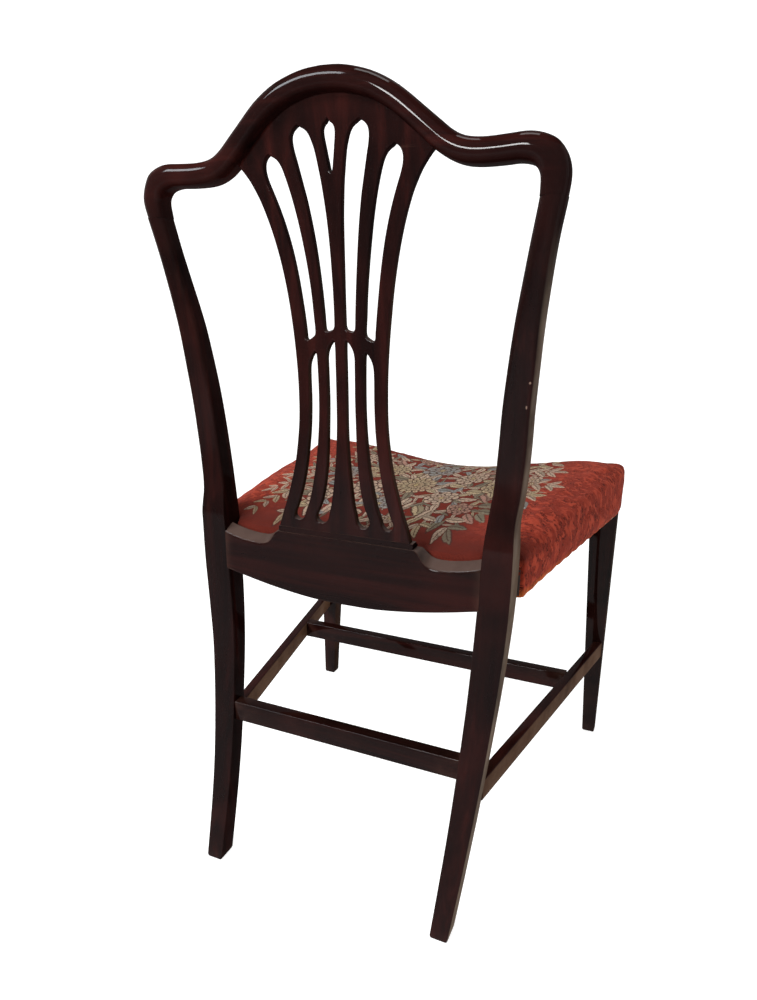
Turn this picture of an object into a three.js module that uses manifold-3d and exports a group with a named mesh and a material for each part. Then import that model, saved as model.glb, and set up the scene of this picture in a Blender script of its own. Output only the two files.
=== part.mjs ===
import * as THREE from 'three';
import { mergeVertices } from 'three/addons/utils/BufferGeometryUtils.js';
import Module from 'manifold-3d';

// Shield back dining chair, millimetres, +Z up, front of the seat towards -Y.
// The frame is drawn about the back face of the rear seat rail and then moved
// so that the origin lies on the floor under the middle of the chair.

const FRAME_SHIFT_Y = 210.0;      // from the rear rail to the middle of the chair
const GAP = 0.3;                  // clearance in every glued joint

// rear leg and stile, one sawn piece: height, back face Y, outer X, inner X, depth
const REAR_LEG = [
  [0, 72.86, 173.09, 150.43, 28.03], [57.6, 52.32, 178.18, 152.83, 26.3], [115.2, 34.08, 183.07, 155.33, 25.34],
  [172.8, 19.78, 187.87, 157.73, 25.25], [230.4, 8.93, 192.48, 160.13, 26.02], [288, 0.77, 196.99, 162.62, 27.84],
  [345.6, -2.5, 201.31, 165.02, 30.34], [403.2, -2.69, 204.29, 167.62, 33.22], [460.8, -2.3, 204.86, 169.92, 35.14],
  [472.32, -2.3, 204.86, 170.5, 34.94], [484.8, -3.65, 204.1, 171.46, 33.22], [497.28, -5.95, 203.42, 172.99, 31.1],
  [537.6, -9.5, 206.4, 178.66, 28.99], [580.8, -8.06, 208.9, 181.63, 27.46], [624, -3.65, 210.72, 184.13, 26.3],
  [667.2, 1.54, 213.7, 188.35, 25.54], [710.4, 7.78, 217.54, 193.25, 25.15], [753.6, 14.98, 222.91, 199.87, 24.77],
  [796.8, 23.33, 229.63, 207.26, 24.38], [823.68, 28.42, 234.43, 211.78, 24],
];

// crest rail, half outline from the middle to the end: outer X, Z, inner X, Z
const CREST = [
  [0, 946.56, 0, 924.96], [19.2, 945.41, 16.8, 923.81], [38.4, 941.47, 33.6, 920.26], [57.6, 934.85, 50.4, 914.5],
  [78.72, 923.14, 68.64, 904.13], [100.8, 905.86, 88.32, 888.38], [115.2, 894.43, 101.76, 876.86], [126.72, 885.31, 113.76, 867.07],
  [137.28, 878.98, 125.76, 860.35], [148.8, 875.81, 140.16, 855.74], [163.2, 874.85, 156.48, 853.92], [182.4, 875.52, 176.64, 854.02],
  [196.8, 876.19, 190.08, 854.59], [208.32, 874.94, 198.72, 853.44], [218.88, 871.39, 204.29, 851.52], [225.98, 866.88, 207.94, 848.64],
  [230.98, 860.54, 210.43, 845.18], [234.43, 853.44, 211.78, 841.34], [236.35, 845.28, 212.26, 836.64], [236.35, 836.64, 212.16, 831.36],
  [235.39, 829.44, 211.97, 827.04], [234.43, 823.68, 211.78, 823.68],
];
const CREST_THICK = 24.5;
const CREST_FOOT_Z = 824.0;       // where the crest rail sits down on the stiles

// back face of the pierced splat: height, Y
const SPLAT_Y = [
  [465.6, -2.4], [499.2, -2.21], [537.6, -1.92], [585.6, -1.15], [624, -0.19], [672, 2.11],
  [720, 4.99], [768, 9.41], [816, 14.88], [864, 21.6], [912, 29.47], [931.2, 32.83],
];
const SPLAT_THICK = 8.6;
// outer edge of the splat: height, half width
const SPLAT_EDGE = [
  [467.52, 85.92], [473.28, 85.06], [485.76, 81.22], [503.04, 75.17], [526.08, 68.35], [548.16, 62.69],
  [571.2, 58.85], [592.32, 56.26], [609.6, 55.1], [624, 54.82], [643.2, 54.82], [662.4, 55.39],
  [681.6, 56.54], [700.8, 58.08], [720, 60.1], [739.2, 62.4], [758.4, 65.38], [777.6, 69.12],
  [796.8, 73.73], [816, 79.49], [835.2, 86.69], [850.56, 94.56], [857.28, 98.88], [863.52, 103.78],
  [867.84, 107.52],
];
// pierced slots of the splat, right half: X, Z round each slot
const UPPER_INNER = [
  [7.87, 703.87], [6.72, 706.56], [6.43, 710.4], [6.43, 739.2], [6.82, 758.4], [7.3, 777.6], [7.97, 796.8],
  [9.02, 816], [10.75, 835.2], [12.38, 849.6], [14.02, 860.16], [15.94, 871.68], [17.57, 879.36], [19.78, 886.08],
  [21.7, 890.88], [24.19, 894.72], [27.46, 897.6], [30.53, 899.14], [34.18, 901.25], [37.63, 899.52], [40.32, 897.6],
  [42.43, 894.72], [43.49, 890.88], [43.49, 886.08], [42.43, 879.36], [40.51, 871.68], [37.82, 860.16], [35.42, 849.6],
  [32.16, 835.2], [28.8, 816], [26.02, 796.8], [23.81, 777.6], [21.98, 758.4], [20.45, 739.2], [19.2, 720],
  [18.05, 703.68], [16.9, 701.95],
];
const UPPER_OUTER = [
  [31.3, 696.96], [30.43, 699.36], [31.49, 720], [32.74, 739.2], [34.66, 758.4], [37.15, 777.6], [40.13, 796.8],
  [43.58, 816], [47.81, 835.2], [51.46, 848.64], [54.14, 857.28], [56.64, 864], [59.14, 868.8], [62.02, 872.26],
  [65.28, 874.56], [67.78, 875.9], [70.46, 878.02], [72.58, 876.86], [74.88, 875.04], [77.38, 871.2], [78.34, 865.92],
  [77.76, 860.16], [75.46, 852.48], [72.38, 844.8], [67.2, 831.36], [62.02, 816], [56.74, 796.8], [52.61, 777.6],
  [49.34, 758.4], [46.75, 739.2], [44.45, 720], [42.53, 700.8], [41.95, 693.7], [40.51, 691.78],
];
const TEARDROP = [
  [0, 857.76], [1.25, 859.2], [2.11, 862.08], [2.88, 866.88], [3.65, 870.72], [4.61, 876.48], [5.57, 882.24],
  [6.53, 888], [7.01, 892.8], [6.62, 896.64], [4.8, 899.71], [2.3, 901.44], [0, 904.51], [-2.3, 901.44],
  [-4.8, 899.71], [-6.62, 896.64], [-7.01, 892.8], [-6.53, 888], [-5.57, 882.24], [-4.61, 876.48], [-3.65, 870.72],
  [-2.88, 866.88], [-2.11, 862.08], [-1.25, 859.2],
];
const LOWER_INNER = [
  [27.46, 478.46], [23.42, 479.81], [19.97, 482.88], [18.14, 487.68], [17.18, 493.44], [14.78, 503.04], [13.06, 514.56],
  [11.62, 526.08], [9.31, 548.16], [7.58, 571.2], [6.62, 595.2], [6.43, 624], [6.43, 662.4], [6.53, 686.4],
  [7.1, 690.82], [8.06, 691.58], [9.79, 689.76], [12.86, 685.92], [15.46, 680.64], [16.9, 673.92], [16.99, 662.4],
  [16.8, 624], [17.57, 595.2], [18.43, 571.2], [20.06, 548.16], [22.85, 526.08], [25.15, 514.56], [28.32, 503.04],
  [32.83, 492.48], [35.14, 487.2], [34.37, 482.88], [31.49, 479.81],
];
const LOWER_OUTER = [
  [58.18, 479.62], [54.34, 480.96], [51.46, 484.03], [49.73, 488.64], [48.38, 493.44], [44.54, 503.04], [41.47, 514.56],
  [38.98, 526.08], [34.94, 548.16], [32.06, 571.2], [29.95, 595.2], [28.8, 624], [29.09, 662.4], [29.76, 675.84],
  [30.72, 679.1], [31.68, 679.3], [33.6, 676.99], [36.29, 672.96], [38.4, 668.16], [39.65, 662.4], [40.13, 652.8],
  [40.22, 624], [41.47, 595.2], [43.97, 571.2], [47.23, 548.16], [51.74, 526.08], [54.91, 514.56], [58.37, 503.04],
  [62.02, 493.44], [64.13, 488.64], [64.61, 484.22], [62.21, 480.96],
];

// rear seat rail, half outline: X, Z
const RAIL_BOTTOM = [
  [0, 376.8], [38.4, 377.66], [76.8, 381.5], [115.2, 387.46], [144, 393.12], [163.2, 397.34], [170.88, 398.98],
];
const RAIL_TOP = [
  [0, 460.42], [90.82, 460.42], [93.12, 459.46], [95.52, 456.96], [97.92, 452.93], [101.28, 448.13], [105.6, 444.1],
  [111.36, 441.79], [119.04, 441.02], [129.6, 441.41], [144, 443.33], [156.48, 446.02], [165.12, 448.51], [171.84, 450.82],
];

const RAIL_BACK_Y = -2.4;         // rear rail, back face
const RAIL_SHOW_Y = -20.4;        // front edge of its polished top
const RAIL_FRONT_Y = -37.6;       // rear rail, front face
const SEAT_RAIL_Z0 = 411.5;       // underside of the seat rails
const SEAT_TOP_Z = 443.0;         // top of the seat rails
const SEAT_DIP = 10.0;            // dip in the front rail
const SHOE_Z0 = 460.8, SHOE_Z1 = 468.0, SHOE_HALF = 88.8;
const SPLAT_FOOT_Z = 468.3;

const FRONT_LEG_X = 271.7, FRONT_LEG_Y = -489.3;
const FRONT_LEG_IN0 = 251.1, FRONT_LEG_IN1 = 229.6;   // inner face at the floor and at the seat
const FRONT_LEG_BK0 = -468.9, FRONT_LEG_BK1 = -450.9; // back face at the floor and at the seat
const FRONT_LEG_REF_Z = 412.8, FRONT_LEG_TOP_Z = 441.2;

const SIDE_STRETCHER = { z0: 153, z1: 180, thick: 14.4 };
const CROSS_STRETCHER = { z0: 153, z1: 180, back: -318.9, thick: 17.5 };
const REAR_STRETCHER = { z0: 183.3, z1: 211.0, back: 10.5, thick: 17.3 };

const COVER_FRONT_Y = -491.6, COVER_REAR_Y = -38.0, COVER_TONGUE_Y = -20.9;
const COVER_Z0 = 410.5, COVER_THICK = 2.0, COVER_ROUND = 14;
const TONGUE_HALF = 166.4;

const wasm = await Module();
wasm.setup();

// ---------------------------------------------------------------- helpers
// smooth curve through a table of rows, first number is the parameter
function curve(table, col) {
  const n = table.length;
  const t = table.map(r => r[0]);
  const v = table.map(r => r[col]);
  const m = v.map((_, i) => {
    if (i === 0) return (v[1] - v[0]) / (t[1] - t[0]);
    if (i === n - 1) return (v[n - 1] - v[n - 2]) / (t[n - 1] - t[n - 2]);
    const a = (v[i] - v[i - 1]) / (t[i] - t[i - 1]);
    const b = (v[i + 1] - v[i]) / (t[i + 1] - t[i]);
    const ha = t[i] - t[i - 1], hb = t[i + 1] - t[i];
    return (a * hb + b * ha) / (ha + hb);
  });
  return x => {
    if (x <= t[0]) return v[0] + m[0] * (x - t[0]);
    if (x >= t[n - 1]) return v[n - 1] + m[n - 1] * (x - t[n - 1]);
    let i = 0;
    while (x > t[i + 1]) i++;
    const h = t[i + 1] - t[i], s = (x - t[i]) / h, s2 = s * s, s3 = s2 * s;
    return v[i] * (2 * s3 - 3 * s2 + 1) + m[i] * h * (s3 - 2 * s2 + s)
      + v[i + 1] * (3 * s2 - 2 * s3) + m[i + 1] * h * (s3 - s2);
  };
}

function asManifold(geometry) {
  let g = geometry.clone();
  g.deleteAttribute('normal');
  g.deleteAttribute('uv');
  g = mergeVertices(g, 1e-4);
  const idx = g.index.array, tri = [];
  for (let i = 0; i < idx.length; i += 3) {
    const a = idx[i], b = idx[i + 1], c = idx[i + 2];
    if (a !== b && b !== c && a !== c) tri.push(a, b, c);
  }
  return new wasm.Manifold(new wasm.Mesh({
    numProp: 3,
    vertProperties: new Float32Array(g.attributes.position.array),
    triVerts: new Uint32Array(tri),
  }));
}

function asGeometry(solid) {
  const m = solid.getMesh();
  const g = new THREE.BufferGeometry();
  const v = m.vertProperties, n = m.numProp, p = new Float32Array(v.length / n * 3);
  for (let i = 0; i < v.length / n; i++) for (let k = 0; k < 3; k++) p[3 * i + k] = v[n * i + k];
  g.setAttribute('position', new THREE.BufferAttribute(p, 3));
  g.setIndex(new THREE.BufferAttribute(new Uint32Array(m.triVerts), 1));
  return g;
}

// closed skin over a row of sections, each a ring of [x, y, z]; flat ends
function loft(sections, capPlane = 'xz') {
  const n = sections[0].length, pos = [], tri = [];
  for (const s of sections) for (const p of s) pos.push(...p);
  for (let i = 0; i + 1 < sections.length; i++) for (let j = 0; j < n; j++) {
    const k = (j + 1) % n, a = i * n + j, b = i * n + k, c = (i + 1) * n + k, d = (i + 1) * n + j;
    tri.push(a, b, c, a, c, d);
  }
  const pick = { xz: p => [p[0], p[2]], xy: p => [p[0], p[1]], yz: p => [p[1], p[2]] }[capPlane];
  const cap = (s, base, flip) => {
    const ring = s.map(p => new THREE.Vector2(...pick(p)));
    const cw = THREE.ShapeUtils.isClockWise(ring);
    const order = s.map((_, i) => (cw ? s.length - 1 - i : i));
    for (const f of THREE.ShapeUtils.triangulateShape(order.map(i => ring[i]), [])) {
      const q = f.map(i => base + order[i]);
      if (cw !== flip) tri.push(q[2], q[1], q[0]); else tri.push(q[0], q[1], q[2]);
    }
  };
  cap(sections[0], 0, true);
  cap(sections[sections.length - 1], (sections.length - 1) * n, false);
  // the ring direction decides which way the skin faces: turn it outwards
  let vol = 0;
  const P = i => [pos[3 * i], pos[3 * i + 1], pos[3 * i + 2]];
  for (let i = 0; i < tri.length; i += 3) {
    const [a, b, c] = [P(tri[i]), P(tri[i + 1]), P(tri[i + 2])];
    vol += a[0] * (b[1] * c[2] - b[2] * c[1]) - a[1] * (b[0] * c[2] - b[2] * c[0]) + a[2] * (b[0] * c[1] - b[1] * c[0]);
  }
  if (vol < 0) for (let i = 0; i < tri.length; i += 3) [tri[i], tri[i + 2]] = [tri[i + 2], tri[i]];
  const g = new THREE.BufferGeometry();
  g.setAttribute('position', new THREE.Float32BufferAttribute(pos, 3));
  g.setIndex(tri);
  return g;
}

const block = (x0, x1, y0, y1, z0, z1) => asManifold(
  new THREE.BoxGeometry(x1 - x0, y1 - y0, z1 - z0).translate((x0 + x1) / 2, (y0 + y1) / 2, (z0 + z1) / 2));

// upright prism on an XY outline
const prism = (outline, z0, z1) => asManifold(
  new THREE.ExtrudeGeometry(new THREE.Shape(outline.map(p => new THREE.Vector2(...p))),
    { depth: z1 - z0, bevelEnabled: false }).translate(0, 0, z0));

// board drawn in X and Z, from depth d0 to d1 in front of a curved back face
function board(shape, backY, d0, d1) {
  const g = new THREE.ExtrudeGeometry(shape, { depth: 1, bevelEnabled: false });
  const p = g.attributes.position;
  for (let i = 0; i < p.count; i++) {
    const x = p.getX(i), z = p.getY(i), d = d0 + (d1 - d0) * p.getZ(i);
    p.setXYZ(i, x, backY(z) - d, z);
  }
  return asManifold(g);
}
const shapeOf = pts => new THREE.Shape(pts.map(p => new THREE.Vector2(...p)));
const mirrorX = pts => pts.map(([x, z]) => [-x, z]);

// ---------------------------------------------------------------- curves
const legY = curve(REAR_LEG, 1), legOut = curve(REAR_LEG, 2), legIn = curve(REAR_LEG, 3), legDeep = curve(REAR_LEG, 4);
const splatY = curve(SPLAT_Y, 1);
const crestTable = CREST.map((r, i) => [i, ...r]);
const crestAt = [1, 2, 3, 4].map(c => curve(crestTable, c));
const backY = z => legY(z);

const frontLegIn = z => FRONT_LEG_IN0 + (FRONT_LEG_IN1 - FRONT_LEG_IN0) * z / FRONT_LEG_REF_Z;
const frontLegBack = z => FRONT_LEG_BK0 + (FRONT_LEG_BK1 - FRONT_LEG_BK0) * z / FRONT_LEG_REF_Z;
const stretcherOut = y => (199.56 - (y / 0.96 + 30) * 0.1808) * 0.96;
const railOut = y => 206.5 + (271.2 - 206.5) * (-37.9 - y) / (448.9 - 37.9);
const railIn = y => railOut(y) - 24;

// top of the seat frame, dipped towards the middle of the front rail
const smooth = t => { t = Math.min(1, Math.max(0, t)); return t * t * (3 - 2 * t); };
const frameTop = (x, y) => {
  const u = Math.min(1, Math.abs(x) / railIn(Math.max(y, -470)));
  return SEAT_TOP_Z - SEAT_DIP * smooth((-60 - y) / 380) * (1 - u * u) ** 2;
};

// outer surface of the seat cover
const coverHalf = y => (y > -452 ? 211.2 + 0.1542 * (-37.9 - y) : 275.05);
const SIDE_Z = [[20, 458], [38, 462], [100, 469], [182, 476.5], [240, 480], [330, 483], [400, 486], [470, 490], [491.6, 491.5]];
const MID_Z = [[20, 452], [38, 456], [100, 462], [250, 466], [400, 466], [491.6, 464.5]];
const sideZ = curve(SIDE_Z, 1), midZ = curve(MID_Z, 1);
const coverTop = (x, y) => {
  const u = Math.min(1, Math.abs(x) / coverHalf(y) / 0.88);
  return midZ(-y) + (sideZ(-y) - midZ(-y)) * (0.5 - 0.5 * Math.cos(Math.PI * u));
};

const both = (make) => [['left', 1], ['right', -1]].map(([side, s]) => [side, s, make(s)]);
const group = new THREE.Group();
group.name = 'shield_back_chair';
group.position.y = FRAME_SHIFT_Y;

const WOODS = {
  mahogany: { color: 0x2a1310, roughness: 0.28, metalness: 0 },
  beech: { color: 0xa5835c, roughness: 0.7, metalness: 0 },
  steel: { color: 0x8d8a84, roughness: 0.45, metalness: 0.9 },
  webbing: { color: 0xa58c62, roughness: 0.95, metalness: 0 },
  hessian: { color: 0xb08f5f, roughness: 0.95, metalness: 0 },
  horsehair: { color: 0x3b2f28, roughness: 0.95, metalness: 0 },
  needlework: { color: 0xa63a28, roughness: 0.9, metalness: 0 },
};
function add(name, solid, finish) {
  const mesh = new THREE.Mesh(asGeometry(solid), new THREE.MeshStandardMaterial(WOODS[finish]));
  mesh.name = name;
  group.add(mesh);
}

// ---------------------------------------------------------------- tenons
// each tenon is drawn once; the socket is the same shape, larger by the gap
const tenon = (x0, x1, y0, y1, z0, z1) => (s, grow = 0) => {
  const [a, b] = s > 0 ? [x0, x1] : [-x1, -x0];
  return block(a - grow, b + grow, y0 - grow, y1 + grow, z0 - grow, z1 + grow);
};
const T = {
  rearRail: tenon(158, 181.5, -15.5, -7.5, 405, 436),
  sideRailRear: tenon(189.5, 198.5, -42, -22, 416, 439),
  sideRailFront: tenon(251, 260, -467, -444, 416, 438),
  frontRail: tenon(220, 245.5, -480.5, -471.5, 416, 434),
  sideStretcherRear: tenon(175.5, 182.5, -9, 9, 157, 176),
  sideStretcherFront: tenon(260, 267, -475, -458, 157, 176),
  rearStretcher: tenon(150, 170, -3, 6, 188, 206),
  crossStretcher: tenon(222, 239.5, -332.5, -322.7, 158, 175),
};
const splatFootTenon = grow => block(-70 - grow, 70 + grow, -8.9 - grow, -4.7 + grow, 447 - grow, SPLAT_FOOT_Z + 3);
const stileTenon = (s, grow = 0) => loft([808, 840].map(z => {
  const xc = s * ((legOut(Math.min(z, 824)) + legIn(Math.min(z, 824))) / 2 + (z > 824 ? 0.8 : 0));
  const yc = backY(z) - CREST_THICK / 2;
  const h = z > 824 ? z + grow : z;
  return [[-6, -4.5], [6, -4.5], [6, 4.5], [-6, 4.5]].map(([a, b]) =>
    [xc + Math.sign(a) * (6 + grow), yc + Math.sign(b) * (4.5 + grow), h]);
}), 'xy');

// ---------------------------------------------------------------- back
// crest rail: a sawn serpentine board, its back rounded over
const CREST_SECTION = [[0, 0.5], [0.06, 0.24], [0.2, 0.07], [0.4, 0], [0.6, 0], [0.8, 0.07], [0.94, 0.24], [1, 0.5],
  [1, 0.97], [0.93, 1], [0.1, 1], [0, 0.9]];
const crestStations = [];
{
  const last = CREST.length - 1, half = [];
  for (let i = 0; i <= last; i++) half.push(i);
  for (const s of half.slice(1).reverse()) crestStations.push([-1, s]);
  for (const s of half) crestStations.push([1, s]);
}
const crestPoint = (sg, s, u) => {
  const [xo, zo, xi, zi] = crestAt.map(f => f(s));
  const last = CREST.length - 1;
  const z = s === last ? CREST_FOOT_Z : zo + (zi - zo) * u;
  return [sg * (xo + (xi - xo) * u), z];
};
const crestInner = s => crestPoint(1, s, 1);
// tongue on the splat's top edge, set into a groove in the crest rail
const innerArc = (off, from, to) => {
  const out = [];
  for (let s = from; s >= -1e-9; s -= 0.5) {
    const a = crestInner(Math.max(0, s - 0.25)), b = crestInner(s + 0.25), p = crestInner(Math.max(0, s));
    let nx = -(b[1] - a[1]), nz = b[0] - a[0];
    if (s < 0.3) { nx = 0; nz = 1; }
    const l = Math.hypot(nx, nz);
    out.push([p[0] + nx / l * off, p[1] + nz / l * off]);
  }
  return out;                                     // from the side to the middle
};
const arcBoth = off => { const a = innerArc(off, 6); return [...a, ...mirrorX(a.slice(0, -1)).reverse()]; };
const tongueShape = (inner, outer, widen) => {
  const lo = arcBoth(inner), hi = arcBoth(outer);
  return shapeOf([...lo, ...hi.reverse()]);
};
const tongue = board(tongueShape(-4, 5, 0), splatY, 2.6, 6.2);
const tongueSlot = board(tongueShape(-6, 5.4, 0), splatY, 2.3, 6.5);

let crest = asManifold(loft(crestStations.map(([sg, s]) =>
  CREST_SECTION.map(([u, v]) => { const [x, z] = crestPoint(sg, s, u); return [x, backY(z) - CREST_THICK * v, z]; })), 'xy'));
crest = crest.subtract(tongueSlot).subtract(asManifold(stileTenon(1, GAP))).subtract(asManifold(stileTenon(-1, GAP)));
add('crest_rail', crest, 'mahogany');

// pierced splat with its fanned top
{
  const edge = SPLAT_EDGE.map(([z, x]) => [x, z]);
  edge[0] = [85.9, SPLAT_FOOT_Z];
  const arc = innerArc(-0.45, 6.6);
  const right = [...edge, ...arc];
  const outline = shapeOf([...right, ...mirrorX(right.slice(0, -1)).reverse()]);
  for (const h of [UPPER_INNER, UPPER_OUTER, LOWER_INNER, LOWER_OUTER]) outline.holes.push(shapeOf(h), shapeOf(mirrorX(h)));
  outline.holes.push(shapeOf(TEARDROP));
  const splat = board(outline, splatY, 0, SPLAT_THICK).add(tongue).add(splatFootTenon(0));
  add('back_splat', splat, 'mahogany');
}

// shoe: moulded strip between the splat and the rear rail
{
  const prof = shapeOf([[-2.4, SHOE_Z0], [-19.8, SHOE_Z0], [-19.8, 463.2], [-18.2, 464.2], [-15.6, 466.4], [-14.6, SHOE_Z1], [-2.4, SHOE_Z1]]);
  const g = new THREE.ExtrudeGeometry(prof, { depth: 2 * SHOE_HALF, bevelEnabled: false });
  const p = g.attributes.position;
  for (let i = 0; i < p.count; i++) { const y = p.getX(i), z = p.getY(i), x = p.getZ(i) - SHOE_HALF; p.setXYZ(i, x, y, z); }
  add('splat_shoe', asManifold(g).subtract(splatFootTenon(GAP)), 'mahogany');
}

// rear seat rail, hollowed on top either side of the shoe
{
  const full = pts => [...pts, ...mirrorX(pts.filter(p => p[0] > 0)).reverse()];
  const lowHalf = RAIL_BOTTOM.slice(0, -1).concat([[legIn(397.6) - GAP, 397.9]]);
  const topHalf = RAIL_TOP.slice(0, -1).concat([[legIn(450.6) - GAP, 450.6]]);
  const ring = top => [...lowHalf, ...top.slice().reverse(), ...mirrorX(top.slice(1)), ...mirrorX(lowHalf.slice(1)).reverse()];
  const front = topHalf.map(([x, z]) => [x, Math.max(z, Math.min(460.42, z + 7.2 * smooth((x - 88) / 16)))]);
  const show = asManifold(loft([ring(topHalf).map(([x, z]) => [x, RAIL_BACK_Y, z]), ring(front).map(([x, z]) => [x, RAIL_SHOW_Y, z])], 'xz'));
  const flat = [[0, SEAT_TOP_Z], [100, SEAT_TOP_Z], [legIn(SEAT_TOP_Z) - GAP, SEAT_TOP_Z]];
  const core = asManifold(loft([-3, RAIL_FRONT_Y].map(y => ring(flat).map(([x, z]) => [x, y, Math.min(z, SEAT_TOP_Z)])), 'xz'));
  // only the part in front of the polished top is taken from the core
  const rebate = core.intersect(block(-200, 200, RAIL_FRONT_Y - 1, RAIL_SHOW_Y + 1.5, 300, SEAT_TOP_Z + 1));
  var rearRail = show.add(rebate).add(T.rearRail(1)).add(T.rearRail(-1)).subtract(splatFootTenon(GAP));
}

// ---------------------------------------------------------------- rear legs with their stiles
const legSection = (s, z) => {
  const xo = legOut(z), xi = legIn(z), yb = legY(z), yf = yb - legDeep(z);
  const k = smooth((z - 470) / 60);               // square below the seat, rounded above
  const foot = z < 1 ? 2.2 : 0;
  const cb = 1.2 + 4.6 * k, cf = 1.2 + 2.0 * k;
  return [[xi + foot, yb - cb - foot], [xi + cb + foot, yb - foot], [xo - cb - foot, yb - foot], [xo - foot, yb - cb - foot],
    [xo - foot, yf + cf + foot], [xo - cf - foot, yf + foot], [xi + cf + foot, yf + foot], [xi + foot, yf + cf + foot]]
    .map(([x, y]) => [s * x, y, z]);
};
const legZ = [0, 3.5];
for (let z = 28; z < 460; z += 30) legZ.push(z);
legZ.push(460, 472, 480, 488, 497);
for (let z = 520; z < 815; z += 26) legZ.push(z);
legZ.push(823.68);

// ---------------------------------------------------------------- stretchers and front legs
const sideStretcher = s => {
  const { z0, z1, thick } = SIDE_STRETCHER;
  const ring = z => {
    const yr = legY(z) - legDeep(z) - GAP - 0.1, yf = frontLegBack(z) + GAP;
    return [[stretcherOut(yr), yr], [stretcherOut(yf), yf], [stretcherOut(yf) - thick, yf], [stretcherOut(yr) - thick, yr]].map(([x, y]) => [s * x, y, z]);
  };
  return asManifold(loft([z0, (z0 + z1) / 2, z1].map(ring), 'xy')).add(T.sideStretcherRear(s)).add(T.sideStretcherFront(s)).subtract(T.crossStretcher(s, GAP));
};

const screwProfile = grow => [[0, 0 - grow], [4.1 + grow, 0 - grow], [4.1 + grow, 0.5], [2.0 + grow, 3], [2.0 + grow, 26], [0, 30 + grow]];
const screw = (from, dir, grow = 0) => {
  const pts = screwProfile(grow).map(([r, h]) => new THREE.Vector2(r, h));
  if (grow) { pts[0].y = -16; pts[1].y = -16; }   // the hole runs out through the face of the block
  const g = new THREE.LatheGeometry(pts, 10);
  const q = new THREE.Quaternion().setFromUnitVectors(new THREE.Vector3(0, 1, 0), new THREE.Vector3(...dir).normalize());
  g.applyQuaternion(q).translate(...from);
  const m = asManifold(g);
  return m;
};
const SCREWS = {
  front: s => [[[s * 208, -452.5, 424], [0, -1, 0]], [[s * 229.5, -431, 433], [s, 0, 0]]],
  rear: s => [[[s * 150, -50.5, 424], [0, 1, 0]], [[s * 165.5, -61, 433], [s, 0, 0]]],
};
const screwHoles = (solid, list) => list.reduce((m, [p, d]) => m.subtract(screw(p, d, GAP)), solid);

for (const [side, s] of [['left', 1], ['right', -1]]) {
  const leg = asManifold(loft(legZ.map(z => legSection(s, z)), 'xy'))
    .add(asManifold(stileTenon(s)))
    .subtract(T.rearRail(s, GAP)).subtract(T.sideRailRear(s, GAP)).subtract(T.sideStretcherRear(s, GAP)).subtract(T.rearStretcher(s, GAP));
  add(`rear_leg_${side}`, leg, 'mahogany');

  const ring = (z, foot) => {
    const xi = frontLegIn(z), yb = frontLegBack(z), xo = FRONT_LEG_X, yf = FRONT_LEG_Y, f = foot;
    return [[xi + f, yb - f], [xo - f - 1.2, yb - f], [xo - f, yb - f - 1.2], [xo - f, yf + 3 + f], [xo - 3 - f, yf + f], [xi + f, yf + f]].map(([x, y]) => [s * x, y, z]);
  };
  const front = asManifold(loft([ring(0, 1.6), ring(3, 0), ring(200, 0), ring(FRONT_LEG_TOP_Z, 0)], 'xy'))
    .subtract(T.sideRailFront(s, GAP)).subtract(T.frontRail(s, GAP)).subtract(T.sideStretcherFront(s, GAP));
  add(`front_leg_${side}`, front, 'mahogany');
}

rearRail = screwHoles(rearRail, [...SCREWS.rear(1).slice(0, 1), ...SCREWS.rear(-1).slice(0, 1)]);
add('rear_seat_rail', rearRail, 'mahogany');

// front rail, dipped in the middle
{
  const y0 = -489.0, y1 = -463.0, top = [];
  for (let i = 0; i <= 16; i++) { const x = -227.5 + 455 * i / 16; top.push([x, frameTop(x, -476)]); }
  const ring = [[-229.2, SEAT_RAIL_Z0], [229.2, SEAT_RAIL_Z0], ...top.reverse()];
  let rail = asManifold(loft([y0, y1].map(y => ring.map(([x, z]) => [x, y, z])), 'xz')).add(T.frontRail(1)).add(T.frontRail(-1));
  rail = screwHoles(rail, [SCREWS.front(1)[0], SCREWS.front(-1)[0]]);
  add('front_seat_rail', rail, 'beech');
}

for (const [side, s] of [['left', 1], ['right', -1]]) {
  const ya = -38.1, yb = -448.9;
  let rail = prism([[s * railOut(ya), ya], [s * railOut(yb), yb], [s * railIn(yb), yb], [s * railIn(ya), ya]], SEAT_RAIL_Z0, SEAT_TOP_Z)
    .add(T.sideRailRear(s)).add(T.sideRailFront(s));
  rail = screwHoles(rail, [SCREWS.rear(s)[1], SCREWS.front(s)[1]]);
  add(`side_seat_rail_${side}`, rail, 'beech');

  // glued and screwed corner blocks
  const fr = [[196, -462.6], [227.0, -462.6], [227.0, -448.4], [railIn(-448.4) - GAP, -448.4], [railIn(-413) - GAP, -413]];
  add(`corner_block_front_${side}`, screwHoles(prism(fr.map(([x, y]) => [s * x, y]), 416, 439), SCREWS.front(s)), 'beech');
  const rr = [[128, -38.0], [railIn(-38) - GAP, -38.0], [railIn(-80) - GAP, -80]];
  add(`corner_block_rear_${side}`, screwHoles(prism(rr.map(([x, y]) => [s * x, y]), 416, 439), SCREWS.rear(s)), 'beech');
  SCREWS.front(s).forEach(([p, d], i) => add(`block_screw_front_${side}_${i + 1}`, screw(p, d), 'steel'));
  SCREWS.rear(s).forEach(([p, d], i) => add(`block_screw_rear_${side}_${i + 1}`, screw(p, d), 'steel'));

  add(`side_stretcher_${side}`, sideStretcher(s), 'mahogany');
}

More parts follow.
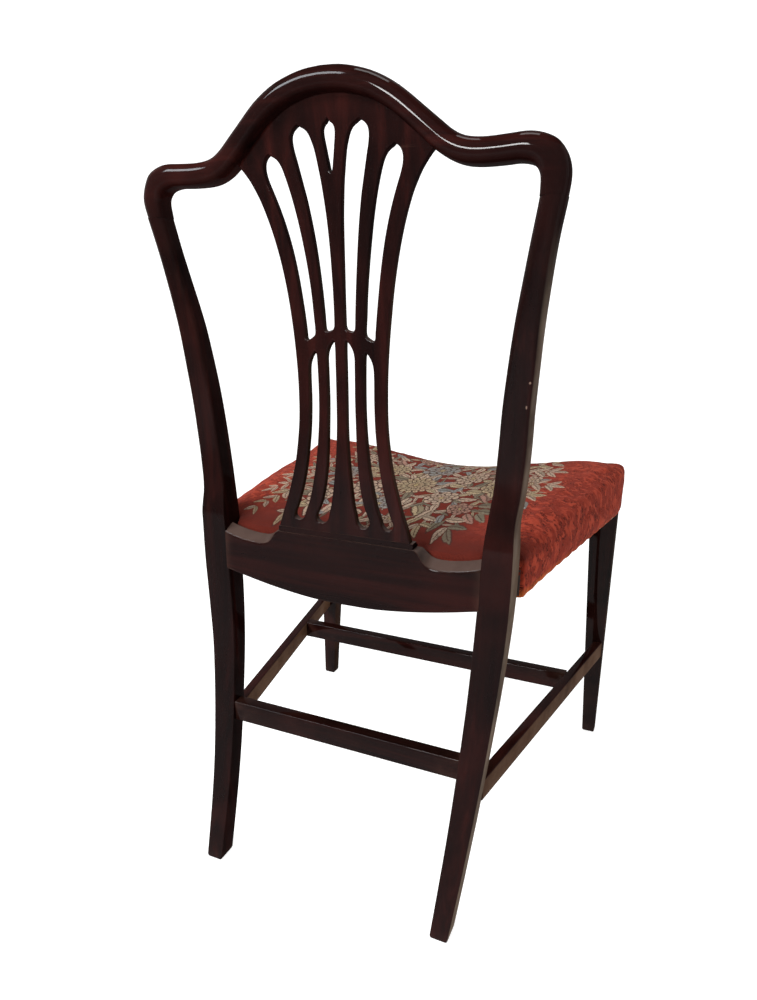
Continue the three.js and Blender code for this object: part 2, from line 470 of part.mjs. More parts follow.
{
  const { z0, z1, back, thick } = REAR_STRETCHER;
  const ring = z => [[legIn(z) - GAP, back], [legIn(z) - GAP, back - thick], [-legIn(z) + GAP, back - thick], [-legIn(z) + GAP, back]].map(([x, y]) => [x, y, z]);
  add('rear_stretcher', asManifold(loft([ring(z0), ring((z0 + z1) / 2), ring(z1)], 'xy')).add(T.rearStretcher(1)).add(T.rearStretcher(-1)), 'mahogany');
}
{
  const { z0, z1, back, thick } = CROSS_STRETCHER, t = SIDE_STRETCHER.thick + GAP;
  const a = stretcherOut(back) - t, b = stretcherOut(back - thick) - t;
  add('cross_stretcher', prism([[-a, back], [-b, back - thick], [b, back - thick], [a, back]], z0, z1).add(T.crossStretcher(1)).add(T.crossStretcher(-1)), 'mahogany');
}

// ---------------------------------------------------------------- seat: webbing, hessian, stuffing, cover
const WEB_LOW = 0.35, WEB_STEP = 1.55, WEB_THICK = 1.2, WEB_HALF = 25;
const alongX = [-0.6, -0.2, 0.2, 0.6];            // front-to-back webs, as a part of the half width
const acrossY = [-100, -190, -280, -370];
const level = (i, j) => (i + j) % 2;
const weave = (t, centres, i) => {                // height step along one web, level on each crossing
  if (t <= centres[0] - 45 || t >= centres[centres.length - 1] + 45) return 0;
  for (let j = 0; j < centres.length; j++) if (Math.abs(t - centres[j]) <= 29) return level(i, j);
  const nodes = [[centres[0] - 45, 0], ...centres.map((c, j) => [c, level(i, j)]), [centres[centres.length - 1] + 45, 0]];
  for (let k = 0; k + 1 < nodes.length; k++) {
    const [a, la] = nodes[k], [b, lb] = nodes[k + 1];
    if (t >= a && t <= b) {
      const lo = k === 0 ? a : a + 29, hi = k + 2 === nodes.length ? b : b - 29;
      return la + (lb - la) * smooth((t - lo) / (hi - lo));
    }
  }
  return 0;
};
// stations along a web: its ends, the edges and middle of each crossing, and the steps between
const webStations = (centres, ends) => {
  const out = [ends[0], ...(ends[2] ? [-ends[2]] : []), centres[0] - 45];
  centres.forEach((c, k) => {
    out.push(c - 29, c, c + 29);
    if (k + 1 < centres.length) out.push((c + centres[k + 1]) / 2);
  });
  return [...out, centres[centres.length - 1] + 45, ...(ends[2] ? [ends[2]] : []), ends[1]];
};
acrossY.forEach((yc, j) => {
  const half = railOut(yc - WEB_HALF) - 7, centres = alongX.map(f => f * railIn(yc));
  const sec = webStations(centres, [-half, half, railIn(yc) - 6]).map(x => {
    const lift = WEB_LOW + WEB_STEP * weave(x, centres, j + 1);
    const a = yc - WEB_HALF, b = yc + WEB_HALF;
    return [[x, a, frameTop(x, a) + lift], [x, b, frameTop(x, b) + lift],
      [x, b, frameTop(x, b) + lift + WEB_THICK], [x, a, frameTop(x, a) + lift + WEB_THICK]];
  });
  add(`web_across_${j + 1}`, asManifold(loft(sec, 'yz')), 'webbing');
});
alongX.forEach((f, i) => {
  const centres = acrossY.map(y => -y);
  const sec = webStations(centres, [24.5, 482.5]).map(t => {
    const y = -t, xc = f * railIn(y), lift = WEB_LOW + WEB_STEP * weave(t, centres, i);
    const a = xc - WEB_HALF, b = xc + WEB_HALF;
    return [[a, y, frameTop(a, y) + lift], [b, y, frameTop(b, y) + lift], [b, y, frameTop(b, y) + lift + WEB_THICK], [a, y, frameTop(a, y) + lift + WEB_THICK]];
  });
  add(`web_along_${i + 1}`, asManifold(loft(sec, 'xz')), 'webbing');
});

// one layer of the seat: top and bottom given as heights over X and Y
function layer(stations, half, top, bottom, n = 10) {
  return asManifold(loft(stations.map(y => {
    const h = half(y), xs = [];
    for (let k = 0; k <= n; k++) xs.push(-h + 2 * h * k / n);
    return [...xs.map(x => [x, y, bottom(x, y)]), ...xs.slice().reverse().map(x => [x, y, top(x, y)])];
  }), 'xz'));
}
const ysBody = [-38.4, -60, -100, -145, -190, -235, -280, -325, -370, -410, -445, -470, -488.9];
const HESS0 = 3.55, HESS1 = 4.35;
add('seat_hessian',
  layer(ysBody, y => railOut(Math.max(y, -448)) - 1, (x, y) => frameTop(x, y) + HESS1, (x, y) => frameTop(x, y) + HESS0)
    .add(layer([-24, -30, -60], () => 163.8, (x, y) => frameTop(x, y) + HESS1, (x, y) => frameTop(x, y) + HESS0)), 'hessian');

// rounded drop of the top towards an edge
const drop = (d, r) => (d >= r ? 0 : r - Math.sqrt(Math.max(0, r * r - (r - Math.max(0, d)) ** 2)));
// the cushion shape, moved in by e on every side
function cushion(e, z0, rearY, flatBottom) {
  const r = COVER_ROUND - e, front = COVER_FRONT_Y + e;
  const ys = [rearY, -60, -100, -145, -190, -235, -280, -325, -370, -410, -436, -452, -466, front + r, front + 0.55 * r, front + 0.25 * r, front + 0.07 * r, front];
  const arc = [0, 0.33, 0.67, 1];
  return asManifold(loft(ys.map(y => {
    const lower = drop(y - front, r);
    const chop = drop(y - front, 5) * 0.5;                   // small radius of the front corner on plan
    const h = coverHalf(Math.min(y, rearY)) - e - chop;
    const ring = [];
    const bot = x => (flatBottom ? z0 : frameTop(x, y) + z0);
    const xs = [];
    for (let k = 0; k <= 8; k++) xs.push(-(h - r) + 2 * (h - r) * k / 8);
    ring.push([-h, y, bot(-h)], ...xs.map(x => [x, y, bot(x)]), [h, y, bot(h)]);
    const zt = coverTop(h, y) - e - lower;
    for (const a of arc) ring.push([h - r + r * Math.cos(a * Math.PI / 2), y, zt - r + r * Math.sin(a * Math.PI / 2)]);
    for (const x of xs.slice(1, -1).reverse()) ring.push([x, y, coverTop(x, y) - e - lower]);
    for (const a of arc.slice().reverse()) ring.push([-h + r - r * Math.cos(a * Math.PI / 2), y, zt - r + r * Math.sin(a * Math.PI / 2)]);
    return ring;
  }), 'xz'));
}
// the narrow part between the stiles, rounded down to the rear rail
function tongueBlock(e, z0, half, rearY, fit) {
  const ys = [rearY, rearY - 0.8, rearY - 2.5, rearY - 5.5, rearY - 10, -38, -58];
  return asManifold(loft(ys.map(y => {
    const d = -20.9 - y, h = half, xs = [];
    for (let k = 0; k <= 6; k++) xs.push(-h + 2 * h * k / 6);
    const lower = drop(d, 11) * 0.72 + (y < -50 ? 1.2 : 0);
    const bot = x => (fit ? frameTop(x, y) + z0 : z0);
    return [...xs.map(x => [x, y, bot(x)]), ...xs.slice().reverse().map(x => [x, y, Math.max(bot(x) + 0.6, coverTop(x, y) - e - lower)])];
  }), 'xz'));
}
add('seat_stuffing', cushion(2.4, 4.85, -38.5, false).add(tongueBlock(2.4, 4.85, 164.0, -27.5, true)), 'horsehair');
const coverOuter = cushion(0, COVER_Z0, COVER_REAR_Y, true).add(tongueBlock(0, 443.4, TONGUE_HALF, COVER_TONGUE_Y, false));
const coverInner = cushion(COVER_THICK, COVER_Z0 - 8, -36.5, true).add(tongueBlock(COVER_THICK, 436, TONGUE_HALF - 2, -22.9, false));
add('seat_cover', coverOuter.subtract(coverInner), 'needlework');

export default group;
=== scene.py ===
import math

import bmesh
import bpy
import numpy as np
from mathutils import Matrix, Vector


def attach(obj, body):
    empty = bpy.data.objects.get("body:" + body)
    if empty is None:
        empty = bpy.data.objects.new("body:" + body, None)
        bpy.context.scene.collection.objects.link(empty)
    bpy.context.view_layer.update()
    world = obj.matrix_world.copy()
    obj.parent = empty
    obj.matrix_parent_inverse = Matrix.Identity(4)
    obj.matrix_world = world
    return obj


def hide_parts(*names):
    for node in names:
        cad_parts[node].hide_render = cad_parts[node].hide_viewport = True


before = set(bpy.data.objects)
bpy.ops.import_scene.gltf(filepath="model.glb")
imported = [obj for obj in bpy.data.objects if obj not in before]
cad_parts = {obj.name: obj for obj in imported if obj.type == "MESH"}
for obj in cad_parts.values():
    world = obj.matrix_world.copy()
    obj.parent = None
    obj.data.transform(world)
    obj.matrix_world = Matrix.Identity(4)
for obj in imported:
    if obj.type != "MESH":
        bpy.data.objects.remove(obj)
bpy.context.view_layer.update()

# The tables are in millimetres about the back of the rear seat rail.
# SHIFT moves the chair so that the origin lies under its middle.
SHIFT = 210.0
MM = 0.001

# rear leg and stile: height, back face Y, outer X, inner X, depth
REAR_LEG = [
    (0, 72.86, 173.09, 150.43, 28.03), (57.6, 52.32, 178.18, 152.83, 26.3), (115.2, 34.08, 183.07, 155.33, 25.34),
    (172.8, 19.78, 187.87, 157.73, 25.25), (230.4, 8.93, 192.48, 160.13, 26.02), (288, 0.77, 196.99, 162.62, 27.84),
    (345.6, -2.5, 201.31, 165.02, 30.34), (403.2, -2.69, 204.29, 167.62, 33.22), (460.8, -2.3, 204.86, 169.92, 35.14),
    (472.32, -2.3, 204.86, 170.5, 34.94), (484.8, -3.65, 204.1, 171.46, 33.22), (497.28, -5.95, 203.42, 172.99, 31.1),
    (537.6, -9.5, 206.4, 178.66, 28.99), (580.8, -8.06, 208.9, 181.63, 27.46), (624, -3.65, 210.72, 184.13, 26.3),
    (667.2, 1.54, 213.7, 188.35, 25.54), (710.4, 7.78, 217.54, 193.25, 25.15), (753.6, 14.98, 222.91, 199.87, 24.77),
    (796.8, 23.33, 229.63, 207.26, 24.38), (823.68, 28.42, 234.43, 211.78, 24),
]
# crest rail, middle to end: outer X, Z, inner X, Z
CREST = [
    (0, 946.56, 0, 924.96), (19.2, 945.41, 16.8, 923.81), (38.4, 941.47, 33.6, 920.26), (57.6, 934.85, 50.4, 914.5),
    (78.72, 923.14, 68.64, 904.13), (100.8, 905.86, 88.32, 888.38), (115.2, 894.43, 101.76, 876.86), (126.72, 885.31, 113.76, 867.07),
    (137.28, 878.98, 125.76, 860.35), (148.8, 875.81, 140.16, 855.74), (163.2, 874.85, 156.48, 853.92), (182.4, 875.52, 176.64, 854.02),
    (196.8, 876.19, 190.08, 854.59), (208.32, 874.94, 198.72, 853.44), (218.88, 871.39, 204.29, 851.52), (225.98, 866.88, 207.94, 848.64),
    (230.98, 860.54, 210.43, 845.18), (234.43, 853.44, 211.78, 841.34), (236.35, 845.28, 212.26, 836.64), (236.35, 836.64, 212.16, 831.36),
    (235.39, 829.44, 211.97, 827.04), (234.43, 823.68, 211.78, 823.68),
]
CREST_THICK = 24.5
SPLAT_Y = [
    (465.6, -2.4), (499.2, -2.21), (537.6, -1.92), (585.6, -1.15), (624, -0.19), (672, 2.11),
    (720, 4.99), (768, 9.41), (816, 14.88), (864, 21.6), (912, 29.47), (931.2, 32.83),
]
SPLAT_THICK = 8.6
SPLAT_EDGE = [
    (467.52, 85.92), (473.28, 85.06), (485.76, 81.22), (503.04, 75.17), (526.08, 68.35), (548.16, 62.69),
    (571.2, 58.85), (592.32, 56.26), (609.6, 55.1), (624, 54.82), (643.2, 54.82), (662.4, 55.39),
    (681.6, 56.54), (700.8, 58.08), (720, 60.1), (739.2, 62.4), (758.4, 65.38), (777.6, 69.12),
    (796.8, 73.73), (816, 79.49), (835.2, 86.69), (850.56, 94.56), (857.28, 98.88), (863.52, 103.78),
    (867.84, 107.52),
]
UPPER_INNER = [
    (7.87, 703.87), (6.72, 706.56), (6.43, 710.4), (6.43, 739.2), (6.82, 758.4), (7.3, 777.6), (7.97, 796.8),
    (9.02, 816), (10.75, 835.2), (12.38, 849.6), (14.02, 860.16), (15.94, 871.68), (17.57, 879.36), (19.78, 886.08),
    (21.7, 890.88), (24.19, 894.72), (27.46, 897.6), (30.53, 899.14), (34.18, 901.25), (37.63, 899.52), (40.32, 897.6),
    (42.43, 894.72), (43.49, 890.88), (43.49, 886.08), (42.43, 879.36), (40.51, 871.68), (37.82, 860.16), (35.42, 849.6),
    (32.16, 835.2), (28.8, 816), (26.02, 796.8), (23.81, 777.6), (21.98, 758.4), (20.45, 739.2), (19.2, 720),
    (18.05, 703.68), (16.9, 701.95),
]
UPPER_OUTER = [
    (31.3, 696.96), (30.43, 699.36), (31.49, 720), (32.74, 739.2), (34.66, 758.4), (37.15, 777.6), (40.13, 796.8),
    (43.58, 816), (47.81, 835.2), (51.46, 848.64), (54.14, 857.28), (56.64, 864), (59.14, 868.8), (62.02, 872.26),
    (65.28, 874.56), (67.78, 875.9), (70.46, 878.02), (72.58, 876.86), (74.88, 875.04), (77.38, 871.2), (78.34, 865.92),
    (77.76, 860.16), (75.46, 852.48), (72.38, 844.8), (67.2, 831.36), (62.02, 816), (56.74, 796.8), (52.61, 777.6),
    (49.34, 758.4), (46.75, 739.2), (44.45, 720), (42.53, 700.8), (41.95, 693.7), (40.51, 691.78),
]
TEARDROP = [
    (0, 857.76), (1.25, 859.2), (2.11, 862.08), (2.88, 866.88), (3.65, 870.72), (4.61, 876.48), (5.57, 882.24),
    (6.53, 888), (7.01, 892.8), (6.62, 896.64), (4.8, 899.71), (2.3, 901.44), (0, 904.51), (-2.3, 901.44),
    (-4.8, 899.71), (-6.62, 896.64), (-7.01, 892.8), (-6.53, 888), (-5.57, 882.24), (-4.61, 876.48), (-3.65, 870.72),
    (-2.88, 866.88), (-2.11, 862.08), (-1.25, 859.2),
]
LOWER_INNER = [
    (27.46, 478.46), (23.42, 479.81), (19.97, 482.88), (18.14, 487.68), (17.18, 493.44), (14.78, 503.04), (13.06, 514.56),
    (11.62, 526.08), (9.31, 548.16), (7.58, 571.2), (6.62, 595.2), (6.43, 624), (6.43, 662.4), (6.53, 686.4),
    (7.1, 690.82), (8.06, 691.58), (9.79, 689.76), (12.86, 685.92), (15.46, 680.64), (16.9, 673.92), (16.99, 662.4),
    (16.8, 624), (17.57, 595.2), (18.43, 571.2), (20.06, 548.16), (22.85, 526.08), (25.15, 514.56), (28.32, 503.04),
    (32.83, 492.48), (35.14, 487.2), (34.37, 482.88), (31.49, 479.81),
]
LOWER_OUTER = [
    (58.18, 479.62), (54.34, 480.96), (51.46, 484.03), (49.73, 488.64), (48.38, 493.44), (44.54, 503.04), (41.47, 514.56),
    (38.98, 526.08), (34.94, 548.16), (32.06, 571.2), (29.95, 595.2), (28.8, 624), (29.09, 662.4), (29.76, 675.84),
    (30.72, 679.1), (31.68, 679.3), (33.6, 676.99), (36.29, 672.96), (38.4, 668.16), (39.65, 662.4), (40.13, 652.8),
    (40.22, 624), (41.47, 595.2), (43.97, 571.2), (47.23, 548.16), (51.74, 526.08), (54.91, 514.56), (58.37, 503.04),
    (62.02, 493.44), (64.13, 488.64), (64.61, 484.22), (62.21, 480.96),
]
RAIL_BOTTOM = [
    (0, 376.8), (38.4, 377.66), (76.8, 381.5), (115.2, 387.46), (144, 393.12), (163.2, 397.34), (170.88, 398.98),
]
RAIL_TOP = [
    (0, 460.42), (90.82, 460.42), (93.12, 459.46), (95.52, 456.96), (97.92, 452.93), (101.28, 448.13), (105.6, 444.1),
    (111.36, 441.79), (119.04, 441.02), (129.6, 441.41), (144, 443.33), (156.48, 446.02), (165.12, 448.51), (171.84, 450.82),
]

for name in ("Cube", "Camera", "Light"):
    if name in bpy.data.objects:
        bpy.data.objects.remove(bpy.data.objects[name], do_unlink=True)
SCENE = bpy.context.scene


# ------------------------------------------------------------------ curves
def curve(table, col):
    t = [r[0] for r in table]
    v = [r[col] for r in table]
    n = len(t)
    m = []
    for i in range(n):
        if i == 0:
            m.append((v[1] - v[0]) / (t[1] - t[0]))
        elif i == n - 1:
            m.append((v[-1] - v[-2]) / (t[-1] - t[-2]))
        else:
            a = (v[i] - v[i - 1]) / (t[i] - t[i - 1])
            b = (v[i + 1] - v[i]) / (t[i + 1] - t[i])
            ha, hb = t[i] - t[i - 1], t[i + 1] - t[i]
            m.append((a * hb + b * ha) / (ha + hb))

    def f(x):
        if x <= t[0]:
            return v[0] + m[0] * (x - t[0])
        if x >= t[-1]:
            return v[-1] + m[-1] * (x - t[-1])
        i = 0
        while x > t[i + 1]:
            i += 1
        h = t[i + 1] - t[i]
        s = (x - t[i]) / h
        s2, s3 = s * s, s * s * s
        return (v[i] * (2 * s3 - 3 * s2 + 1) + m[i] * h * (s3 - 2 * s2 + s)
                + v[i + 1] * (3 * s2 - 2 * s3) + m[i + 1] * h * (s3 - s2))
    return f


def smooth(t):
    t = min(1.0, max(0.0, t))
    return t * t * (3 - 2 * t)


def rounded_loop(points, step):
    """closed centripetal Catmull-Rom curve through the points, resampled at about step"""
    p = [np.array(q, float) for q in points]
    n = len(p)
    out = []
    for i in range(n):
        a, b, c, d = p[i - 1], p[i], p[(i + 1) % n], p[(i + 2) % n]
        t0 = 0.0
        t1 = t0 + max(1e-6, np.linalg.norm(b - a)) ** 0.5
        t2 = t1 + max(1e-6, np.linalg.norm(c - b)) ** 0.5
        t3 = t2 + max(1e-6, np.linalg.norm(d - c)) ** 0.5
        k = max(1, int(round(np.linalg.norm(c - b) / step)))
        for j in range(k):
            t = t1 + (t2 - t1) * j / k
            a1 = (t1 - t) / (t1 - t0) * a + (t - t0) / (t1 - t0) * b
            a2 = (t2 - t) / (t2 - t1) * b + (t - t1) / (t2 - t1) * c
            a3 = (t3 - t) / (t3 - t2) * c + (t - t2) / (t3 - t2) * d
            b1 = (t2 - t) / (t2 - t0) * a1 + (t - t0) / (t2 - t0) * a2
            b2 = (t3 - t) / (t3 - t1) * a2 + (t - t1) / (t3 - t1) * a3
            out.append(tuple((t2 - t) / (t2 - t1) * b1 + (t - t1) / (t2 - t1) * b2))
    return out


leg_y, leg_out, leg_in, leg_deep = (curve(REAR_LEG, k) for k in (1, 2, 3, 4))
splat_y = curve(SPLAT_Y, 1)
crest_at = [curve([(i,) + tuple(r) for i, r in enumerate(CREST)], c) for c in (1, 2, 3, 4)]
LAST = len(CREST) - 1


# ------------------------------------------------------------------ mesh helpers
def finish_mesh(name, verts, faces, mat, angle=40.0, flat=False):
    me = bpy.data.meshes.new(name)
    me.from_pydata([tuple(v) for v in verts], [], faces)
    me.validate()
    bm = bmesh.new()
    bm.from_mesh(me)
    bmesh.ops.remove_doubles(bm, verts=bm.verts, dist=1e-6)
    bmesh.ops.recalc_face_normals(bm, faces=bm.faces)
    bm.to_mesh(me)
    bm.free()
    ob = bpy.data.objects.new(name, me)
    SCENE.collection.objects.link(ob)
    shade(ob, angle, flat)
    if mat is not None:
        me.materials.append(mat)
    return ob


def shade(ob, angle=40.0, flat=False):
    me = ob.data
    if flat:
        me.shade_flat()
    else:
        me.shade_smooth()
        me.set_sharp_from_angle(angle=math.radians(angle))


def even_normals(ob):
    """broad faces keep their own direction, and the narrow rounded edges turn between them"""
    w = ob.modifiers.new("weighted normals", "WEIGHTED_NORMAL")
    w.mode = "FACE_AREA"
    w.weight = 60
    w.keep_sharp = True
    return ob


def loft(sections, caps=True):
    """verts and faces of a skin over rings of equal length, in millimetres about the rear rail"""
    n = len(sections[0])
    verts = [(x * MM, (y + SHIFT) * MM, z * MM) for s in sections for x, y, z in s]
    faces = []
    for i in range(len(sections) - 1):
        for j in range(n):
            k = (j + 1) % n
            faces.append((i * n + j, i * n + k, (i + 1) * n + k, (i + 1) * n + j))
    if caps:
        faces.append(tuple(range(n)))
        faces.append(tuple((len(sections) - 1) * n + j for j in range(n)))
    return verts, faces


def rounded_ring(x0, x1, y0, y1, radii, seg=4):
    """corners in order (x0,y0) (x1,y0) (x1,y1) (x0,y1), each with its own radius"""
    out = []
    centres = ((x0, y0, 1, 1, 180), (x1, y0, -1, 1, 270), (x1, y1, -1, -1, 0), (x0, y1, 1, -1, 90))
    for (cx, cy, sx, sy, a0), r in zip(centres, radii):
        r = max(0.05, r)
        ox, oy = cx + sx * r, cy + sy * r
        for k in range(seg + 1):
            a = math.radians(a0 + 90.0 * k / seg)
            out.append((ox + r * math.cos(a), oy + r * math.sin(a)))
    return out


def rides(ob, slot, *nodes):
    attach(ob, "root")
    if nodes:
        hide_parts(*nodes)
    return ob


# small hand-made unevenness, the same on every run
def wobble(a, b=0.0, c=0.0):
    return (math.sin(a * 1.7 + b * 0.9 + 0.3) + 0.6 * math.sin(a * 3.9 - b * 2.3 + c + 1.1) + 0.4 * math.sin(a * 8.3 + b * 5.1 - c * 2 + 2.7)) / 2.0


# ------------------------------------------------------------------ node helpers
def new_material(name):
    m = bpy.data.materials.new(name)
    m.use_nodes = True
    m.node_tree.nodes.clear()
    return m


class Tree:
    def __init__(self, mat):
        self.t = mat.node_tree

    def add(self, kind, ins=None, out=0, **props):
        n = self.t.nodes.new(kind)
        for k, v in props.items():
            setattr(n, k, v)
        for k, v in (ins or {}).items():
            s = n.inputs[k]
            if isinstance(v, bpy.types.NodeSocket):
                self.t.links.new(v, s)
            elif isinstance(v, bpy.types.Node):
                self.t.links.new(v.outputs[0], s)
            else:
                s.default_value = v
        return n.outputs[out] if out is not None else n

    def math(self, op, a, b=0.0, c=None, clamp=False):
        ins = {0: a, 1: b}
        if c is not None:
            ins[2] = c
        return self.add("ShaderNodeMath", ins, operation=op, use_clamp=clamp)

    def vmath(self, op, a, b=(0, 0, 0), out=0):
        return self.add("ShaderNodeVectorMath", {0: a, 1: b}, out=out, operation=op)

    def coords(self, scale, rot=(0, 0, 0), loc=(0, 0, 0)):
        tc = self.add("ShaderNodeTexCoord", out=None)
        return self.add("ShaderNodeMapping", {"Vector": tc.outputs["Object"], "Scale": scale, "Rotation": rot, "Location": loc})

    def noise(self, vec, scale, detail=3.0, rough=0.55, dist=0.0, out="Fac"):
        n = self.add("ShaderNodeTexNoise", {"Vector": vec, "Scale": scale, "Detail": detail, "Roughness": rough, "Distortion": dist}, out=None)
        return n.outputs[out]

    def ramp(self, fac, stops, interp="LINEAR"):
        n = self.t.nodes.new("ShaderNodeValToRGB")
        n.color_ramp.interpolation = interp
        e = n.color_ramp.elements
        while len(e) < len(stops):
            e.new(0.5)
        for el, (p, c) in zip(e, stops):
            el.position = p
            el.color = (*c, 1.0) if len(c) == 3 else c
        self.t.links.new(fac, n.inputs[0])
        return n.outputs[0]

    def band(self, fac, lo, hi, a=0.0, b=1.0):
        return self.add("ShaderNodeMapRange", {"Value": fac, "From Min": lo, "From Max": hi, "To Min": a, "To Max": b}, clamp=True)

    def mix(self, fac, a, b, mode="MIX"):
        n = self.t.nodes.new("ShaderNodeMix")
        n.data_type = "RGBA"
        n.blend_type = mode
        for sock, v in ((n.inputs[0], fac), (n.inputs[6], a), (n.inputs[7], b)):
            if isinstance(v, bpy.types.NodeSocket):
                self.t.links.new(v, sock)
            elif isinstance(v, (int, float)):
                sock.default_value = v
            else:
                sock.default_value = (*v, 1.0) if len(v) == 3 else v
        return n.outputs[2]

    def bump(self, height, strength=0.3, distance=0.001, normal=None):
        ins = {"Height": height, "Strength": strength, "Distance": distance}
        if normal is not None:
            ins["Normal"] = normal
        return self.add("ShaderNodeBump", ins)

    def surface(self, **ins):
        b = self.add("ShaderNodeBsdfPrincipled", {k.replace("_", " "): v for k, v in ins.items()})
        o = self.t.nodes.new("ShaderNodeOutputMaterial")
        self.t.links.new(b, o.inputs["Surface"])
        return b


AXIS_SCALE = {"X": (0.045, 1.0, 1.0), "Y": (1.0, 0.045, 1.0), "Z": (1.0, 1.0, 0.045)}


def mahogany(name, axis, lift=1.0, nicks=(), seed=0.0, wear=1.0, dust_and_top_light=0.0, painted_side_light=0.0, side_light_colour=(0.056, 0.032, 0.018), joint=False):
    """dark polished mahogany, grain along the axis; lift lightens it, nicks are worn spots,
    the dust setting paints what faces up lighter and duller, for dust and for the light that falls on it,
    the side-light setting paints the light that falls on what faces the right-hand side of the chair;
    a joint evens the colour where the stile meets the crest rail"""
    m = new_material(name)
    t = Tree(m)
    g = t.coords(AXIS_SCALE[axis], loc=(seed, seed * 1.7, seed * 0.6))
    w = t.coords((1, 1, 1), loc=(seed * 2.1, seed, seed * 0.4))
    figure = t.noise(g, 46.0, 5.0, 0.62, 0.6)
    fine = t.noise(g, 240.0, 3.0, 0.7)
    pores = t.noise(g, 1150.0, 1.0, 0.5)
    broad = t.noise(w, 7.0, 3.0, 0.55)
    smear = t.noise(w, 28.0, 4.0, 0.6)
    k = lift
    base = t.ramp(figure, [(0.30, (0.0040 * k, 0.0015 * k, 0.0014 * k)), (0.50, (0.0095 * k, 0.0025 * k, 0.0022 * k)), (0.72, (0.024 * k, 0.0050 * k, 0.0040 * k))])
    red = t.mix(t.band(broad, 0.42, 0.72), base, (0.042 * k, 0.0078 * k, 0.0058 * k))
    col = t.mix(t.math("MULTIPLY", t.band(broad, 0.42, 0.72), 0.55), base, red)
    col = t.mix(t.band(fine, 0.52, 0.75, 0.0, 0.22), col, (0.003, 0.0018, 0.0016))
    pore = t.band(pores, 0.66, 0.74)
    col = t.mix(t.math("MULTIPLY", pore, 0.35), col, (0.0015, 0.001, 0.001))
    # polish rubbed thin along the arrises
    geo = t.add("ShaderNodeNewGeometry", out=None)
    edge = t.band(geo.outputs["Pointiness"], 0.515, 0.60)
    rub = t.math("MULTIPLY", edge, t.band(smear, 0.38, 0.66), clamp=True)
    col = t.mix(t.math("MULTIPLY", rub, 0.45 * wear), col, (0.070, 0.034, 0.024))
    rough = t.band(smear, 0.25, 0.8, 0.20, 0.40)
    rough = t.math("ADD", rough, t.math("MULTIPLY", rub, 0.12))
    nrm = t.add("ShaderNodeSeparateXYZ", {0: geo.outputs["Normal"]}, out=None)
    # dust and painted top light: faces that look up are painted lighter and greyer, partly for dust and partly for the
    # light that falls on them
    if dust_and_top_light:
        up = t.math("MULTIPLY", t.band(nrm.outputs[2], 0.30, 0.85), t.band(smear, 0.2, 0.6, 0.55, 1.0))
        up = t.math("MULTIPLY", up, dust_and_top_light)
        col = t.mix(up, col, (0.078, 0.050, 0.041))
        rough = t.math("ADD", rough, t.math("MULTIPLY", up, 0.35))
    # painted side light: faces that look towards the chair's right-hand side are painted paler, for the light that
    # falls on them
    if painted_side_light:
        fl = t.math("MULTIPLY", t.band(t.math("MULTIPLY", nrm.outputs[0], -1.0), 0.6, 0.92), t.band(t.noise(w, 14.0, 4.0, 0.6), 0.3, 0.65, 0.35, 1.0))
        zed = t.add("ShaderNodeSeparateXYZ", {0: t.coords((1, 1, 1))}, out=None).outputs[2]
        fl = t.math("MULTIPLY", t.math("MULTIPLY", fl, painted_side_light), t.band(zed, 0.70, 0.80, 1.0, 0.0))
        col = t.mix(fl, col, side_light_colour)
        rough = t.math("ADD", rough, t.math("MULTIPLY", fl, 0.2))
    if joint:
        high = t.add("ShaderNodeSeparateXYZ", {0: t.coords((1, 1, 1))}, out=None).outputs[2]
        near = t.band(t.math("ABSOLUTE", t.math("SUBTRACT", high, 0.824)), 0.004, 0.045, 0.95, 0.0)
        col = t.mix(near, col, (0.0088, 0.0024, 0.0021))
    # the polish has gone dull on the faces that look sideways
    dull = t.band(t.math("ABSOLUTE", nrm.outputs[0]), 0.70, 0.93)
    coat = t.band(t.math("MULTIPLY", dull, t.band(smear, 0.2, 0.7, 1.0, 0.8)), 0.0, 1.0, 0.165, 0.012)
    # nothing polishes the faces that look down, and dust lies on those that look up
    coat = t.math("MULTIPLY", coat, t.band(nrm.outputs[2], -0.62, -0.25, 0.15, 1.0))
    coat = t.math("MULTIPLY", coat, t.band(nrm.outputs[2], 0.55, 0.85, 1.0, 0.40))
    height = t.math("ADD", t.math("MULTIPLY", figure, 0.35), t.math("MULTIPLY", pore, -0.5))
    for (px, py, pz, r, stretch) in nicks:
        d = t.vmath("MULTIPLY", t.vmath("SUBTRACT", t.coords((1, 1, 1)), (px, py, pz)), (1.0, 1.0, 1.0 / stretch))
        dist = t.vmath("LENGTH", d, out="Value")
        edge_n = t.math("MULTIPLY", t.noise(w, 420.0, 2.0), r * 1.1)
        hit = t.band(t.math("ADD", dist, edge_n), r * 1.25, r * 1.65, 1.0, 0.0)
        col = t.mix(t.math("MULTIPLY", hit, 0.8), col, (0.16, 0.10, 0.075))
        rough = t.math("ADD", rough, t.math("MULTIPLY", hit, 0.3))
        height = t.math("SUBTRACT", height, t.math("MULTIPLY", hit, 1.2))
    t.surface(Base_Color=col, Roughness=rough, Specular_IOR_Level=0.0, Coat_Weight=coat, Coat_Roughness=0.055, Normal=t.bump(height, 0.25, 0.0004))
    return m


